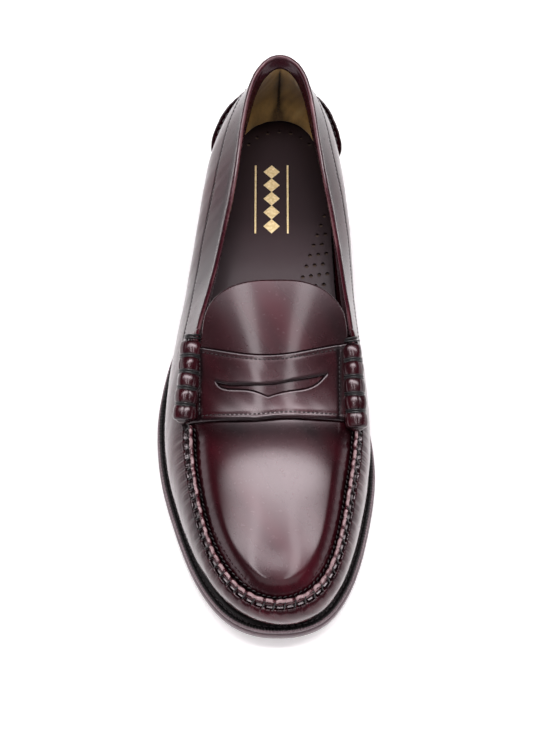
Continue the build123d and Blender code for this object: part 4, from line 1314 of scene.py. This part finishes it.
# ---------------------------------------------------------------- studio
# Brightness of the room from the horizon up
ROOM = [
    (0.0, (1.0, 0.96, 1.0)), (0.06, (0.74, 0.67, 0.73)), (0.16, (0.22, 0.185, 0.215)),
    (0.34, (0.075, 0.060, 0.070)), (0.6, (0.028, 0.024, 0.027)), (1.0, (0.020, 0.018, 0.020)),
]
# Ceiling panels one unit up: middle to the right and to the front, half sizes, soft edges, brightness
PANELS = [
    ((0.10, -0.08), (0.06, 0.035), (1.05, 0.11), 15.0),
    ((-0.15, 0.24), (0.022, 0.18), (0.04, 0.08), 10.0),
    ((0.15, 0.24), (0.022, 0.18), (0.04, 0.08), 8.0),
    ((0.0, 0.95), (0.70, 0.30), (0.4, 0.25), 0.9),
    ((-9.0, 0.0), (4.5, 6.0), (2.2, 3.0), 1.6),
    ((10.0, 0.0), (4.0, 6.0), (2.2, 3.0), 1.3),
]
PANEL_TINT = (1.0, 0.95, 0.97)


def studio():
    scene = bpy.context.scene
    camera = bpy.data.cameras.new("camera")
    camera.sensor_width = 36.0
    camera.lens = 79.57
    thing = bpy.data.objects.new("camera", camera)
    scene.collection.objects.link(thing)
    distance = 0.800
    target = (0.00478, -0.01329, 0.030)
    elevation = math.radians(61.0)
    back = distance * math.cos(elevation)
    rise = distance * math.sin(elevation)
    thing.location = (target[0], target[1] - back, target[2] + rise)
    thing.rotation_euler = (math.pi / 2 - elevation, 0.0, 0.0)
    scene.camera = thing
    scene.view_settings.view_transform = "Standard"

    floor_mesh = bpy.data.meshes.new("floor")
    reach = 4.0
    corners = [(-reach, -reach, 0), (reach, -reach, 0), (reach, reach, 0), (-reach, reach, 0)]
    floor_mesh.from_pydata(corners, [], [(0, 1, 2, 3)])
    floor = bpy.data.objects.new("floor", floor_mesh)
    scene.collection.objects.link(floor)
    material, nodes, _ = new_material("pale_floor")
    shader = nodes["Principled BSDF"]
    shader.inputs["Base Color"].default_value = (0.93, 0.93, 0.93, 1)
    shader.inputs["Roughness"].default_value = 0.9
    shader.inputs["Emission Color"].default_value = (1.0, 1.0, 1.0, 1)
    shader.inputs["Emission Strength"].default_value = 0.35
    floor_mesh.materials.append(material)

    scene.world = studio_world()


def edge_fade(nodes, links, place, middle, half, soft):
    """1 within half of the middle, fading to 0 over the soft edge."""
    away = math_node(nodes, links, "ABSOLUTE", math_node(nodes, links, "SUBTRACT", place, middle))
    node = nodes.new("ShaderNodeMapRange")
    node.interpolation_type = "SMOOTHSTEP"
    node.inputs["From Min"].default_value = half + soft
    node.inputs["From Max"].default_value = half
    links.new(away, node.inputs["Value"])
    return node.outputs["Result"]


def studio_world():
    """White paper below, a dim room, and soft panels on the ceiling."""
    world = bpy.data.worlds.new("studio")
    world.use_nodes = True
    nodes, links = world.node_tree.nodes, world.node_tree.links
    place = nodes.new("ShaderNodeTexCoord")
    parts = nodes.new("ShaderNodeSeparateXYZ")
    links.new(place.outputs["Generated"], parts.inputs[0])
    up = math_node(nodes, links, "MAXIMUM", parts.outputs["Z"], 0.05)
    right = math_node(nodes, links, "DIVIDE", parts.outputs["X"], up)
    forward = math_node(nodes, links, "MULTIPLY", parts.outputs["Y"], -1.0)
    front = math_node(nodes, links, "DIVIDE", forward, up)
    room = ramp(nodes, links, parts.outputs["Z"], ROOM)
    total = room
    for (across, ahead), (half_across, half_ahead), soft, power in PANELS:
        lit = math_node(
            nodes, links, "MULTIPLY", edge_fade(nodes, links, right, across, half_across, soft[0]),
            edge_fade(nodes, links, front, ahead, half_ahead, soft[1]),
        )
        lit = math_node(nodes, links, "MULTIPLY", lit, power)
        color = nodes.new("ShaderNodeCombineXYZ")
        for share, socket in zip(PANEL_TINT, color.inputs):
            links.new(math_node(nodes, links, "MULTIPLY", lit, share), socket)
        total = mixed(nodes, links, 1.0, total, color.outputs[0], "ADD")
    links.new(total, nodes["Background"].inputs["Color"])
    nodes["Background"].inputs["Strength"].default_value = 1.0
    return world


# ---------------------------------------------------------------- the whole shoe
studio()
vamp_piece()
apron_piece()
strap_piece()
for roll_side in ROLL_AXES:
    beef_roll(roll_side)
    gathered_collar(roll_side)
seam_thread()
strap_threads()
collar_threads()
binding_piece()
heel_cup_piece()
linings()
tongue_lining_piece()
sole_unit()
dress_cad_nodes()

bpy.context.view_layer.update()
